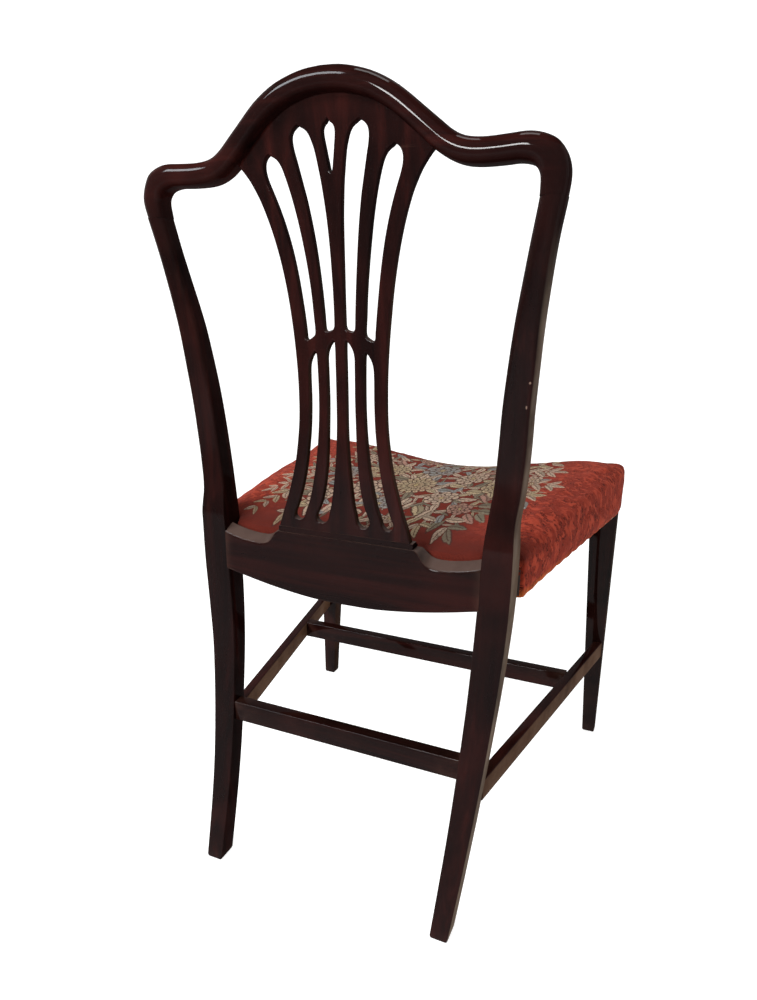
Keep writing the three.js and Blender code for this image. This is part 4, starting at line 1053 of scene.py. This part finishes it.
# ------------------------------------------------------------------ needlework design, motif by motif
RED = (0.165, 0.0185, 0.0098)
CREAM = (0.50, 0.365, 0.262)
STRAW = (0.45, 0.345, 0.205)
GREY = (0.25, 0.26, 0.245)
ROSE = (0.38, 0.20, 0.15)
MOSS = (0.19, 0.165, 0.11)
STRETCH = 1.7          # the motifs are drawn longer from back to front than from side to side


def face_centres(me):
    c = np.empty(len(me.polygons) * 3)
    me.polygons.foreach_get("center", c)
    n = np.empty(len(me.polygons) * 3)
    me.polygons.foreach_get("normal", n)
    return c.reshape(-1, 3), n.reshape(-1, 3)


def lay_motifs(me, name, motifs):
    """each face takes the motif it lies deepest in; its corners hold their place in that motif.
    A motif is (cx, cy, angle, half length, half width, (r, g, b), kind)."""
    c, no_ = face_centres(me)
    fx, fy = c[:, 0] / MM, (c[:, 1] / MM + 55) / STRETCH
    best = np.full(len(c), 9.0)
    pick = np.full(len(c), -1)
    up = no_[:, 2] > 0.15
    for k, (cx, cy, a, hl, hw, col, kind) in enumerate(motifs):
        i = np.nonzero(up & (np.abs(fx - cx) < hl * 1.5 + 4) & (np.abs(fy - cy) < hl * 1.5 + 4))[0]
        if not len(i):
            continue
        ca, sa = math.cos(a), math.sin(a)
        dx, dy = fx[i] - cx, fy[i] - cy
        m = ((dx * ca + dy * sa) / hl) ** 2 + ((-dx * sa + dy * ca) / hw) ** 2
        w = m < best[i]
        best[i[w]] = m[w]
        pick[i[w]] = k
    table = np.array([(cx, cy, a, hl, hw, *col, kind) for cx, cy, a, hl, hw, col, kind in motifs])
    count = np.empty(len(me.polygons), dtype=np.int32)
    me.polygons.foreach_get("loop_total", count)
    per = np.repeat(pick, count)
    vi = np.empty(len(me.loops), dtype=np.int32)
    me.loops.foreach_get("vertex_index", vi)
    P_ = coords_of(me)[vi]
    x, y = P_[:, 0] / MM, (P_[:, 1] / MM + 55) / STRETCH
    t = table[np.maximum(per, 0)]
    ca, sa = np.cos(t[:, 2]), np.sin(t[:, 2])
    u = ((x - t[:, 0]) * ca + (y - t[:, 1]) * sa) / t[:, 3]
    v = (-(x - t[:, 0]) * sa + (y - t[:, 1]) * ca) / t[:, 4]
    none = per < 0
    u[none], v[none] = 5.0, 5.0
    seed = np.mod(np.maximum(per, 0) * 0.618034, 1.0)
    att = me.color_attributes.new(name + "_place", "FLOAT_COLOR", "CORNER")
    att.data.foreach_set("color", np.c_[u, v, seed, np.ones(len(u))].astype(np.float32).ravel())
    att = me.color_attributes.new(name + "_tint", "FLOAT_COLOR", "CORNER")
    att.data.foreach_set("color", np.c_[t[:, 5:8], t[:, 8]].astype(np.float32).ravel())


def in_field(x, y, grow=1.0):
    return (abs(x) / (182 * grow)) ** 2.6 + (abs(y) / (116 * grow)) ** 2.6 < 1


# (x, y, half length, half width, petals, colour, heart kind)
BLOOMS = [
    (8, -4, 30, 29, 16, STRAW), (4, -72, 30, 24, 7, GREY), (-54, 34, 25, 21, 8, CREAM), (66, 28, 25, 22, 7, CREAM), (-62, -44, 26, 23, 9, CREAM), (72, -46, 25, 23, 12, STRAW),
    (18, 66, 21, 18, 6, GREY), (-112, -4, 22, 18, 6, STRAW), (122, -8, 21, 19, 7, GREY), (-34, -106, 20, 14, 7, CREAM), (46, -106, 20, 14, 6, ROSE), (-114, -78, 22, 18, 6, GREY),
    (120, -78, 21, 18, 8, CREAM), (-98, 66, 18, 15, 6, ROSE), (104, 72, 19, 17, 6, CREAM), (-20, 98, 15, 12, 6, CREAM), (-156, -38, 15, 13, 5, CREAM), (160, -40, 15, 13, 5, STRAW),
]


def sprig(cx, cy, ang, n, size, col, two, out):
    """a stalk with pairs of leaves and one at its tip"""
    step = size * 0.72
    for k in range(n):
        px, py = cx + math.cos(ang) * step * k, cy + math.sin(ang) * step * k
        z = size * (1.0 - 0.12 * k)
        for sg in (1, -1):
            a = ang + sg * 0.85
            out.append((px + math.cos(a) * z * 0.55, py + math.sin(a) * z * 0.55, a, z * 0.52, z * 0.21, col if (k + (sg > 0)) % 2 else two, 0.0))
    out.append((cx + math.cos(ang) * step * (n - 0.1), cy + math.sin(ang) * step * (n - 0.1), ang, size * 0.45, size * 0.19, two, 0.0))


def needlework_leaves():
    rng = np.random.default_rng(11)
    leaves = []
    for cx, cy, a, n, z, c, d in ((150, 78, 1.35, 4, 20, CREAM, STRAW), (143, 62, 2.1, 3, 19, CREAM, MOSS), (158, 52, 0.9, 3, 18, CREAM, CREAM), (-92, 92, 2.2, 2, 28, CREAM, MOSS), (-60, 88, 1.9, 2, 24, CREAM, STRAW),
                                 (98, 98, 1.2, 2, 24, CREAM, STRAW), (-146, -98, 3.5, 3, 27, CREAM, STRAW), (-150, -70, 3.1, 2, 28, CREAM, CREAM), (150, -98, 5.9, 3, 26, CREAM, STRAW),
                                 (168, -40, 0.1, 2, 26, CREAM, STRAW), (-164, -20, 3.0, 2, 26, CREAM, CREAM), (-150, 24, 3.3, 2, 25, CREAM, STRAW), (154, 20, 0.4, 3, 20, CREAM, CREAM),
                                 (0, 104, 1.57, 2, 20, STRAW, CREAM)):
        sprig(cx, cy, a, n, z, c, d, leaves)
    # a ruff of leaves round each bloom
    for k, (bx, by, hl, hw, n, col) in enumerate(BLOOMS):
        m = 7 if hl > 23 else 5
        for j in range(m):
            a = j * 2 * math.pi / m + k * 0.9
            z = hl * (0.62 + 0.12 * ((j + k) % 3))
            leaves.append((bx + math.cos(a) * (hl + z * 0.42), by + math.sin(a) * (hw + z * 0.42), a, z * 0.56, z * 0.24, (CREAM, STRAW, CREAM, GREY, MOSS)[(2 * j + k) % 5], 0.0))
    # the ground between them
    spots = [(x, y) for x, y, *_ in leaves]
    for _ in range(4200):
        x, y = rng.uniform(-190, 190), rng.uniform(-122, 122)
        if not in_field(x, y):
            continue
        if any(((x - b[0]) / (b[2] + 3)) ** 2 + ((y - b[1]) / (b[3] + 3)) ** 2 < 1 for b in BLOOMS):
            continue
        if any((x - a) ** 2 + (y - b) ** 2 < 13.6 ** 2 for a, b in spots):
            continue
        spots.append((x, y))
        a = math.atan2(y, x) + rng.uniform(-1.1, 1.1)
        z = rng.uniform(11.0, 15.5)
        leaves.append((x, y, a, z, z * rng.uniform(0.42, 0.54), (CREAM, CREAM, STRAW, GREY, CREAM, MOSS, ROSE)[len(spots) % 7], 0.0))
    return [m for m in leaves if -122 < m[1] < 132 and abs(m[0]) < 206 + min(0.0, m[1] + 40) * 0.22]


def needlework_tendrils():
    rng = np.random.default_rng(5)
    out = []
    for _ in range(900):
        x, y = rng.uniform(-196, 196), rng.uniform(-126, 126)
        if not in_field(x, y, 1.04) or any((x - m[0]) ** 2 + (y - m[1]) ** 2 < 10.5 ** 2 for m in out):
            continue
        out.append((x, y, math.atan2(y, x) + rng.uniform(-0.9, 0.9), rng.uniform(9, 14), rng.uniform(1.7, 2.6), (CREAM, STRAW, CREAM, MOSS)[len(out) % 4], 0.0))
    return out


me = cover.data
lay_motifs(me, "tendril", needlework_tendrils())
lay_motifs(me, "leaf", needlework_leaves())
lay_motifs(me, "bloom", [(x, y, 0.35 * ((k * 5) % 7 - 3), hl, hw, col, float(n)) for k, (x, y, hl, hw, n, col) in enumerate(BLOOMS)])

P = coords_of(me)
no = np.empty(len(me.vertices) * 3)
me.vertices.foreach_get("normal", no)
no = no.reshape(-1, 3)
# the design bends over the edge with the cloth for a few millimetres and then stops
hgt = np.array([cover_top(px / MM, py / MM - SHIFT) for px, py in P[:, :2]]) - P[:, 2] / MM
half_at = np.array([cover_half(y) for y in P[:, 1] / MM - SHIFT])
top_mask = np.clip((18.0 - hgt) / 4.0, 0, 1) * np.clip((no[:, 2] + 0.1) / 0.35, 0, 1) * np.clip((half_at - np.abs(P[:, 0] / MM) - 5) / 5, 0, 1)
side_mask = np.clip((hgt - 9.0) / 8.0, 0, 1) * np.clip((0.75 - no[:, 2]) / 0.3, 0, 1)
# the nap is crushed most near the right rear of the seat and along the sides
edge_mask = np.clip((np.abs(P[:, 0] / MM) - 150 + 0.10 * (P[:, 1] / MM + 281)) / 60, 0, 1) * np.clip((170 - P[:, 1] / MM) / 60, 0, 1)
att = me.color_attributes.new("nap", "FLOAT_COLOR", "POINT")
att.data.foreach_set("color", np.c_[side_mask, top_mask, edge_mask, np.ones(len(P))].astype(np.float32).ravel())


def wob(a, b=0.0, c=0.0):
    return (np.sin(a * 1.7 + b * 0.9 + 0.3) + 0.6 * np.sin(a * 3.9 - b * 2.3 + c + 1.1) + 0.4 * np.sin(a * 8.3 + b * 5.1 - c * 2 + 2.7)) / 2.0


# crushed nap and slack cloth as real surface
amp = wob(P[:, 0] * 95 + P[:, 1] * 30, P[:, 2] * 160, P[:, 1] * 60) * 0.5 + wob(P[:, 0] * 210, P[:, 2] * 330 + 1.3, P[:, 1] * 190) * 0.35
amp_top = wob(P[:, 0] * 40, P[:, 1] * 46)
hem = np.clip((P[:, 2] - 0.4120) / 0.0120, 0, 1)
P2 = P + no * ((amp * side_mask * hem * 0.0008 + amp_top * (1 - side_mask) * 0.0005)[:, None])
P2[:, 2] = np.maximum(P2[:, 2], 0.4106)
low = np.clip((0.4250 - P2[:, 2]) / 0.0140, 0, 1)
P2[:, 2] -= low * (0.0022 * np.clip((P2[:, 1] + 0.20) / 0.35, 0, 1) + 0.0030 * np.clip((P2[:, 1] - 0.06) / 0.10, 0, 1) ** 1.5)
set_coords(me, P2)

sol = cover.modifiers.new("cloth thickness", "SOLIDIFY")
sol.thickness = 0.0016
sol.offset = -1.0
sol.use_even_offset = False
dg = bpy.context.evaluated_depsgraph_get()
thick = bpy.data.meshes.new_from_object(cover.evaluated_get(dg))
cover.modifiers.clear()
cover.data = thick
shade(cover, 70)


def cover_material():
    m = new_material("wool_needlework")
    t = Tree(m)
    c = t.coords((1, 1, 1))

    def att(name):
        return t.add("ShaderNodeAttribute", out=None, attribute_name=name)

    def parts(sock):
        return t.add("ShaderNodeSeparateXYZ", {0: sock}, out=None).outputs

    nap_rgb = parts(att("nap").outputs["Color"])
    nap, on_top, on_edge = nap_rgb[0], nap_rgb[1], nap_rgb[2]
    sep = parts(c)
    # a hand-stitched line is never quite true
    jit = parts(t.noise(c, 210.0, 2.0, 0.5, out="Color"))
    jx = t.math("SUBTRACT", jit[0], 0.5)
    jy = t.math("SUBTRACT", jit[1], 0.5)
    # stitches: slanted tent stitches about 1.5 mm apart on the top
    wobl = t.math("MULTIPLY", t.math("SUBTRACT", t.noise(c, 55.0, 2.0), 0.5), 0.0016)
    a = t.math("DIVIDE", t.math("ADD", sep[0], wobl), 0.0015)
    b = t.math("DIVIDE", t.math("ADD", sep[1], wobl), 0.0015)
    sa = t.math("ABSOLUTE", t.math("SINE", t.math("MULTIPLY", a, math.pi)))
    sb = t.math("ABSOLUTE", t.math("SINE", t.math("MULTIPLY", t.math("ADD", b, t.math("MULTIPLY", a, 0.35)), math.pi)))
    stitch = t.math("MULTIPLY", sa, sb)
    fuzz = t.noise(c, 900.0, 4.0, 0.7)
    blot = t.noise(c, 38.0, 4.0, 0.6)
    wide = t.noise(c, 9.0, 2.0, 0.5)
    flick = t.noise(t.coords((1.0, 0.45, 1.0)), 330.0, 3.0, 0.65)

    ground = t.mix(t.band(blot, 0.35, 0.75, 0.0, 0.5), RED, (0.120, 0.0145, 0.0092))
    ground = t.mix(t.band(flick, 0.60, 0.72, 0.0, 0.45), ground, (0.090, 0.014, 0.010))
    ink = (0.050, 0.026, 0.020)

    def leaf_layer(col, name, line, bow):
        place = parts(att(name + "_place").outputs["Color"])
        tint = att(name + "_tint").outputs["Color"]
        seed = place[2]
        u = t.math("ADD", place[0], t.math("MULTIPLY", jx, 0.30))
        v = t.math("ADD", place[1], t.math("MULTIPLY", jy, 0.55))
        uu = t.math("SUBTRACT", 1.0, t.math("MULTIPLY", u, u), clamp=True)
        v = t.math("SUBTRACT", v, t.math("MULTIPLY", t.math("MULTIPLY", uu, bow), t.math("SUBTRACT", seed, 0.5)))
        prof = t.math("MULTIPLY", t.math("POWER", uu, 0.62), t.math("SUBTRACT", 0.98, t.math("MULTIPLY", u, 0.30)))
        av = t.math("ABSOLUTE", v)
        d = t.math("SUBTRACT", prof, av)
        alive = t.math("GREATER_THAN", uu, 0.001)
        body = t.math("MULTIPLY", t.band(d, 0.0, 0.12), alive)
        rim = t.math("MULTIPLY", t.band(d, -line, -line + 0.12), t.math("LESS_THAN", t.math("ABSOLUTE", u), 1.12))
        col = t.mix(t.math("MULTIPLY", rim, 0.82), col, ink)
        face = t.mix(t.math("MULTIPLY", t.band(v, 0.02, 0.14), t.band(seed, 0.2, 0.9, 0.15, 0.75)), tint, t.mix(1.0, tint, (0.42, 0.46, 0.46), "MULTIPLY"))
        side_vein = t.math("SINE", t.math("ADD", t.math("MULTIPLY", u, 15.0), t.math("MULTIPLY", av, -6.0)))
        face = t.mix(t.math("MULTIPLY", t.band(side_vein, 0.45, 0.85), 0.45), face, (0.12, 0.085, 0.060))
        mid = t.math("MULTIPLY", t.band(av, 0.09, 0.17, 1.0, 0.0), t.band(u, 0.55, 0.75, 1.0, 0.0))
        face = t.mix(t.math("MULTIPLY", mid, 0.85), face, ink)
        return t.mix(body, col, face), body

    col, m0 = leaf_layer(ground, "tendril", 0.45, 1.6)
    col, m1 = leaf_layer(col, "leaf", 0.30, 1.1)
    place = parts(att("bloom_place").outputs["Color"])
    tint_att = att("bloom_tint")
    tint = tint_att.outputs["Color"]
    petals = tint_att.outputs["Alpha"]
    seed = place[2]
    u = t.math("ADD", place[0], t.math("MULTIPLY", jx, 0.16))
    v = t.math("ADD", place[1], t.math("MULTIPLY", jy, 0.16))
    r = t.math("SQRT", t.math("ADD", t.math("MULTIPLY", u, u), t.math("MULTIPLY", v, v)))
    th = t.math("ARCTAN2", v, u)
    for ring, (size, turn) in enumerate(((1.0, 0.0), (0.70, 0.5), (0.43, 0.0))):
        ang = t.math("MULTIPLY", t.math("MULTIPLY", petals, 0.5), t.math("ADD", th, t.math("MULTIPLY", seed, 3.0)))
        ang = t.math("ADD", ang, turn * math.pi)
        cs = t.math("ABSOLUTE", t.math("COSINE", ang))
        sn = t.math("ABSOLUTE", t.math("SINE", ang))
        lobe = t.math("MULTIPLY", t.math("ADD", 0.70, t.math("MULTIPLY", t.math("POWER", cs, 0.55), 0.30)), size)
        d = t.math("SUBTRACT", lobe, r)
        col = t.mix(t.math("MULTIPLY", t.band(d, -0.085, -0.045), 0.85), col, ink)
        depth = t.math("DIVIDE", r, size)
        petal = t.mix(t.band(depth, 0.35, 0.95, 0.55, 0.0), tint, (0.33, 0.17, 0.105) if ring != 1 else (0.20, 0.17, 0.11))
        petal = t.mix(t.math("MULTIPLY", t.band(sn, 0.86, 0.95), t.band(depth, 0.35, 0.55)), petal, ink)
        petal = t.mix(t.math("MULTIPLY", t.band(cs, 0.955, 0.985), t.band(depth, 0.85, 0.95, 0.55, 0.0)), petal, ink)
        col = t.mix(t.band(d, 0.0, 0.05), col, petal)
    m2 = t.band(r, 0.95, 1.0, 1.0, 0.0)
    col = t.mix(t.band(r, 0.17, 0.21, 0.9, 0.0), col, ink)
    col = t.mix(t.band(r, 0.11, 0.15, 1.0, 0.0), col, (0.36, 0.27, 0.13))
    # flecks of darker wool run through the worked parts
    drawn = t.math("MAXIMUM", t.math("MAXIMUM", m0, m1), m2)
    col = t.mix(t.math("MULTIPLY", drawn, t.band(flick, 0.58, 0.68, 0.0, 0.70)), col, (0.085, 0.060, 0.046))
    col = t.mix(t.math("MULTIPLY", drawn, t.band(blot, 0.50, 0.72, 0.0, 0.35)), col, (0.30, 0.17, 0.12))
    col = t.mix(on_top, ground, col)
    # painted shadow along the rear edge of the seat, where the chair back shades it
    col = t.mix(t.band(sep[1], 0.105, 0.178, 0.0, 0.56), col, (0.030, 0.008, 0.006))
    # painted shade in the gaps between the stitches
    col = t.mix(t.band(stitch, 0.05, 0.45, 0.40, 0.0), col, (0.050, 0.014, 0.010))

    # crushed nap on the sides: short squiggles that run down
    warp = t.vmath("MULTIPLY", t.noise(c, 80.0, 2.0, 0.5, out="Color"), (0.012, 0.012, 0.006))
    cw = t.vmath("ADD", t.coords((1.0, 1.0, 0.50)), warp)
    sq = t.noise(cw, 118.0, 3.0, 0.60, 0.5)
    ridge = t.math("ABSOLUTE", t.math("SUBTRACT", sq, 0.5))
    broken = t.band(t.noise(c, 46.0, 2.0), 0.40, 0.52)
    crease = t.math("MULTIPLY", t.band(ridge, 0.006, 0.034, 1.0, 0.0), broken)
    side = t.mix(t.band(sq, 0.38, 0.62), (0.172, 0.020, 0.011), (0.290, 0.040, 0.020))
    # painted shade in the creases of the crushed nap
    side = t.mix(t.math("MULTIPLY", crease, 0.92), side, (0.030, 0.006, 0.005))
    side = t.mix(t.band(fuzz, 0.58, 0.75, 0.0, 0.22), side, (0.40, 0.085, 0.045))
    # a brighter line along the lower edge
    low = t.math("MULTIPLY", t.band(sep[2], 0.4125, 0.4210, 1.0, 0.0), t.band(sep[1], -0.02, 0.12, 0.25, 1.0))
    side = t.mix(t.math("MULTIPLY", low, t.band(blot, 0.30, 0.6, 0.35, 0.85)), side, (0.44, 0.110, 0.022))
    worn = t.math("MAXIMUM", nap, t.math("MULTIPLY", on_edge, t.math("SUBTRACT", 1.0, drawn, clamp=True)), clamp=True)
    col = t.mix(worn, col, side)
    col = t.mix(t.band(fuzz, 0.64, 0.8, 0.0, 0.10), col, (0.36, 0.20, 0.14))
    height = t.math("ADD", t.math("MULTIPLY", stitch, t.math("SUBTRACT", 1.0, worn)), t.math("MULTIPLY", t.math("SUBTRACT", t.math("MULTIPLY", sq, 2.0), t.math("MULTIPLY", crease, 1.6)), worn))
    height = t.math("ADD", height, t.math("MULTIPLY", fuzz, 0.5))
    height = t.math("ADD", height, t.math("MULTIPLY", drawn, 0.8))
    t.surface(Base_Color=col, Roughness=0.97, Specular_IOR_Level=0.03, Sheen_Weight=0.015, Sheen_Roughness=0.5, Normal=t.bump(height, 0.7, 0.0010))
    return m


cover.data.materials.clear()
cover.data.materials.append(cover_material())
rides(cover, "needlework_cover", "seat_cover")


# stuffing under the cover, seen only where the cover is lifted
def horsehair():
    m = new_material("curled_horsehair")
    t = Tree(m)
    c = t.coords((1, 1, 1))
    n1 = t.noise(c, 420.0, 5.0, 0.7, 2.5)
    n2 = t.noise(c, 90.0, 3.0, 0.6, 1.0)
    col = t.ramp(n1, [(0.35, (0.010, 0.008, 0.006)), (0.6, (0.05, 0.036, 0.026)), (0.75, (0.13, 0.10, 0.075))])
    t.surface(Base_Color=col, Roughness=0.8, Normal=t.bump(t.math("ADD", n1, n2), 1.0, 0.003))
    return m


verts, faces = cushion_mesh("stuffing", 7.5, 449.6, -46.5, 160.0, -31.5, 449.3)
stuffing = remeshed("seat_stuffing_hair", verts, faces, 0.008)
Q = coords_of(stuffing.data)
qn = np.empty(len(Q) * 3)
stuffing.data.vertices.foreach_get("normal", qn)
qn = qn.reshape(-1, 3)
set_coords(stuffing.data, Q + qn * np.array([[0.0005 * wobble(p[0] * 60, p[1] * 70, p[2] * 50)] for p in Q]))
shade(stuffing, 70)
stuffing.data.materials.append(horsehair())
rides(stuffing, "horsehair", "seat_stuffing")

# ------------------------------------------------------------------ stage, light and camera
def stage_material():
    m = new_material("studio_paper")
    t = Tree(m)
    c = t.coords((1, 1, 1))
    n = t.noise(c, 3.0, 3.0)
    col = t.mix(t.band(n, 0.3, 0.7), (0.40, 0.40, 0.40), (0.43, 0.43, 0.427))
    sep = t.add("ShaderNodeSeparateXYZ", {0: c}, out=None)
    # the paper glows as painted light: full strength round the chair and beyond it, dimmer towards and behind the
    # camera
    glow = t.band(sep.outputs[1], 0.25, 1.1, 0.86, 0.22)
    t.surface(Base_Color=col, Roughness=0.9, Specular_IOR_Level=0.1, Emission_Color=(1.0, 1.0, 0.995, 1.0), Emission_Strength=glow)
    return m


# a round floor whose rim turns up into a wall on every side
profile = [(0.0, 0.0), (0.6, 0.0), (1.2, 0.0), (2.0, 0.0), (3.0, 0.0), (4.0, 0.0)]
for k in range(1, 11):
    a = math.pi / 2 * k / 10
    profile.append((4.0 + 1.4 * math.sin(a), 1.4 - 1.4 * math.cos(a)))
profile += [(5.4, 3.0), (5.4, 6.0)]
sv, sf = [(0.0, -0.6, 0.0)], []
TURN = 72
for r, z in profile[1:]:
    sv += [(r * math.cos(2 * math.pi * k / TURN), r * math.sin(2 * math.pi * k / TURN) - 0.6, z) for k in range(TURN)]
for k in range(TURN):
    sf.append((0, 1 + k, 1 + (k + 1) % TURN))
for i in range(len(profile) - 2):
    for k in range(TURN):
        a, b = 1 + i * TURN + k, 1 + i * TURN + (k + 1) % TURN
        sf.append((a, a + TURN, b + TURN, b))
me = bpy.data.meshes.new("studio_floor")
me.from_pydata(sv, [], sf)
floor = bpy.data.objects.new("studio_floor", me)
SCENE.collection.objects.link(floor)
me.shade_smooth()
me.materials.append(stage_material())

world = bpy.data.worlds.new("studio")
SCENE.world = world
world.use_nodes = True
world.node_tree.nodes["Background"].inputs[0].default_value = (1.0, 0.99, 0.97, 1)
world.node_tree.nodes["Background"].inputs[1].default_value = 0.06


def area_light(name, loc, target, size, power, colour=(1, 1, 1)):
    l = bpy.data.lights.new(name, "AREA")
    l.shape = "RECTANGLE"
    l.size, l.size_y = size
    l.energy = power
    l.color = colour
    o = bpy.data.objects.new(name, l)
    SCENE.collection.objects.link(o)
    o.location = loc
    d = Vector(target) - Vector(loc)
    o.rotation_euler = d.to_track_quat("-Z", "Y").to_euler()
    return o


area_light("floor_wash", (0.8, -2.4, 3.9), (0.7, -2.5, 0.0), (4.2, 1.6), 40)
area_light("overhead", (-0.05, 0.50, 2.6), (-0.05, 0.0, 0.6), (0.6, 0.6), 16)
area_light("lamp_left", (1.25, 1.98, 1.98), (0.02, 0.26, 0.90), (1.15, 0.52), 78, (0.90, 0.95, 1.0))
area_light("lamp_right", (0.43, 2.58, 1.16), (-0.10, 0.25, 0.88), (0.46, 0.30), 41)
area_light("side", (-3.0, -0.5, 1.5), (0, 0, 0.45), (0.7, 1.6), 6)

cam_data = bpy.data.cameras.new("camera")
cam_data.sensor_width = 36.0
cam_data.sensor_fit = "AUTO"
cam_data.lens = 0.714761 * 36.0
cam_data.shift_x = 0.0117
cam_data.shift_y = 0.0243
cam_data.clip_end = 60
camera = bpy.data.objects.new("camera", cam_data)
SCENE.collection.objects.link(camera)
yaw, pitch, roll = 0.423, 0.288, -0.007
fwd = Vector((math.sin(yaw) * math.cos(pitch), -math.cos(yaw) * math.cos(pitch), -math.sin(pitch)))
rgt = fwd.cross(Vector((0, 0, 1))).normalized()
down = fwd.cross(rgt)
r2 = rgt * math.cos(roll) + down * math.sin(roll)
d2 = -rgt * math.sin(roll) + down * math.cos(roll)
camera.matrix_world = Matrix(((r2.x, -d2.x, -fwd.x, -0.35993), (r2.y, -d2.y, -fwd.y, 0.72787 + SHIFT * MM), (r2.z, -d2.z, -fwd.z, 0.72161), (0, 0, 0, 1)))
SCENE.camera = camera
SCENE.view_settings.view_transform = "Standard"
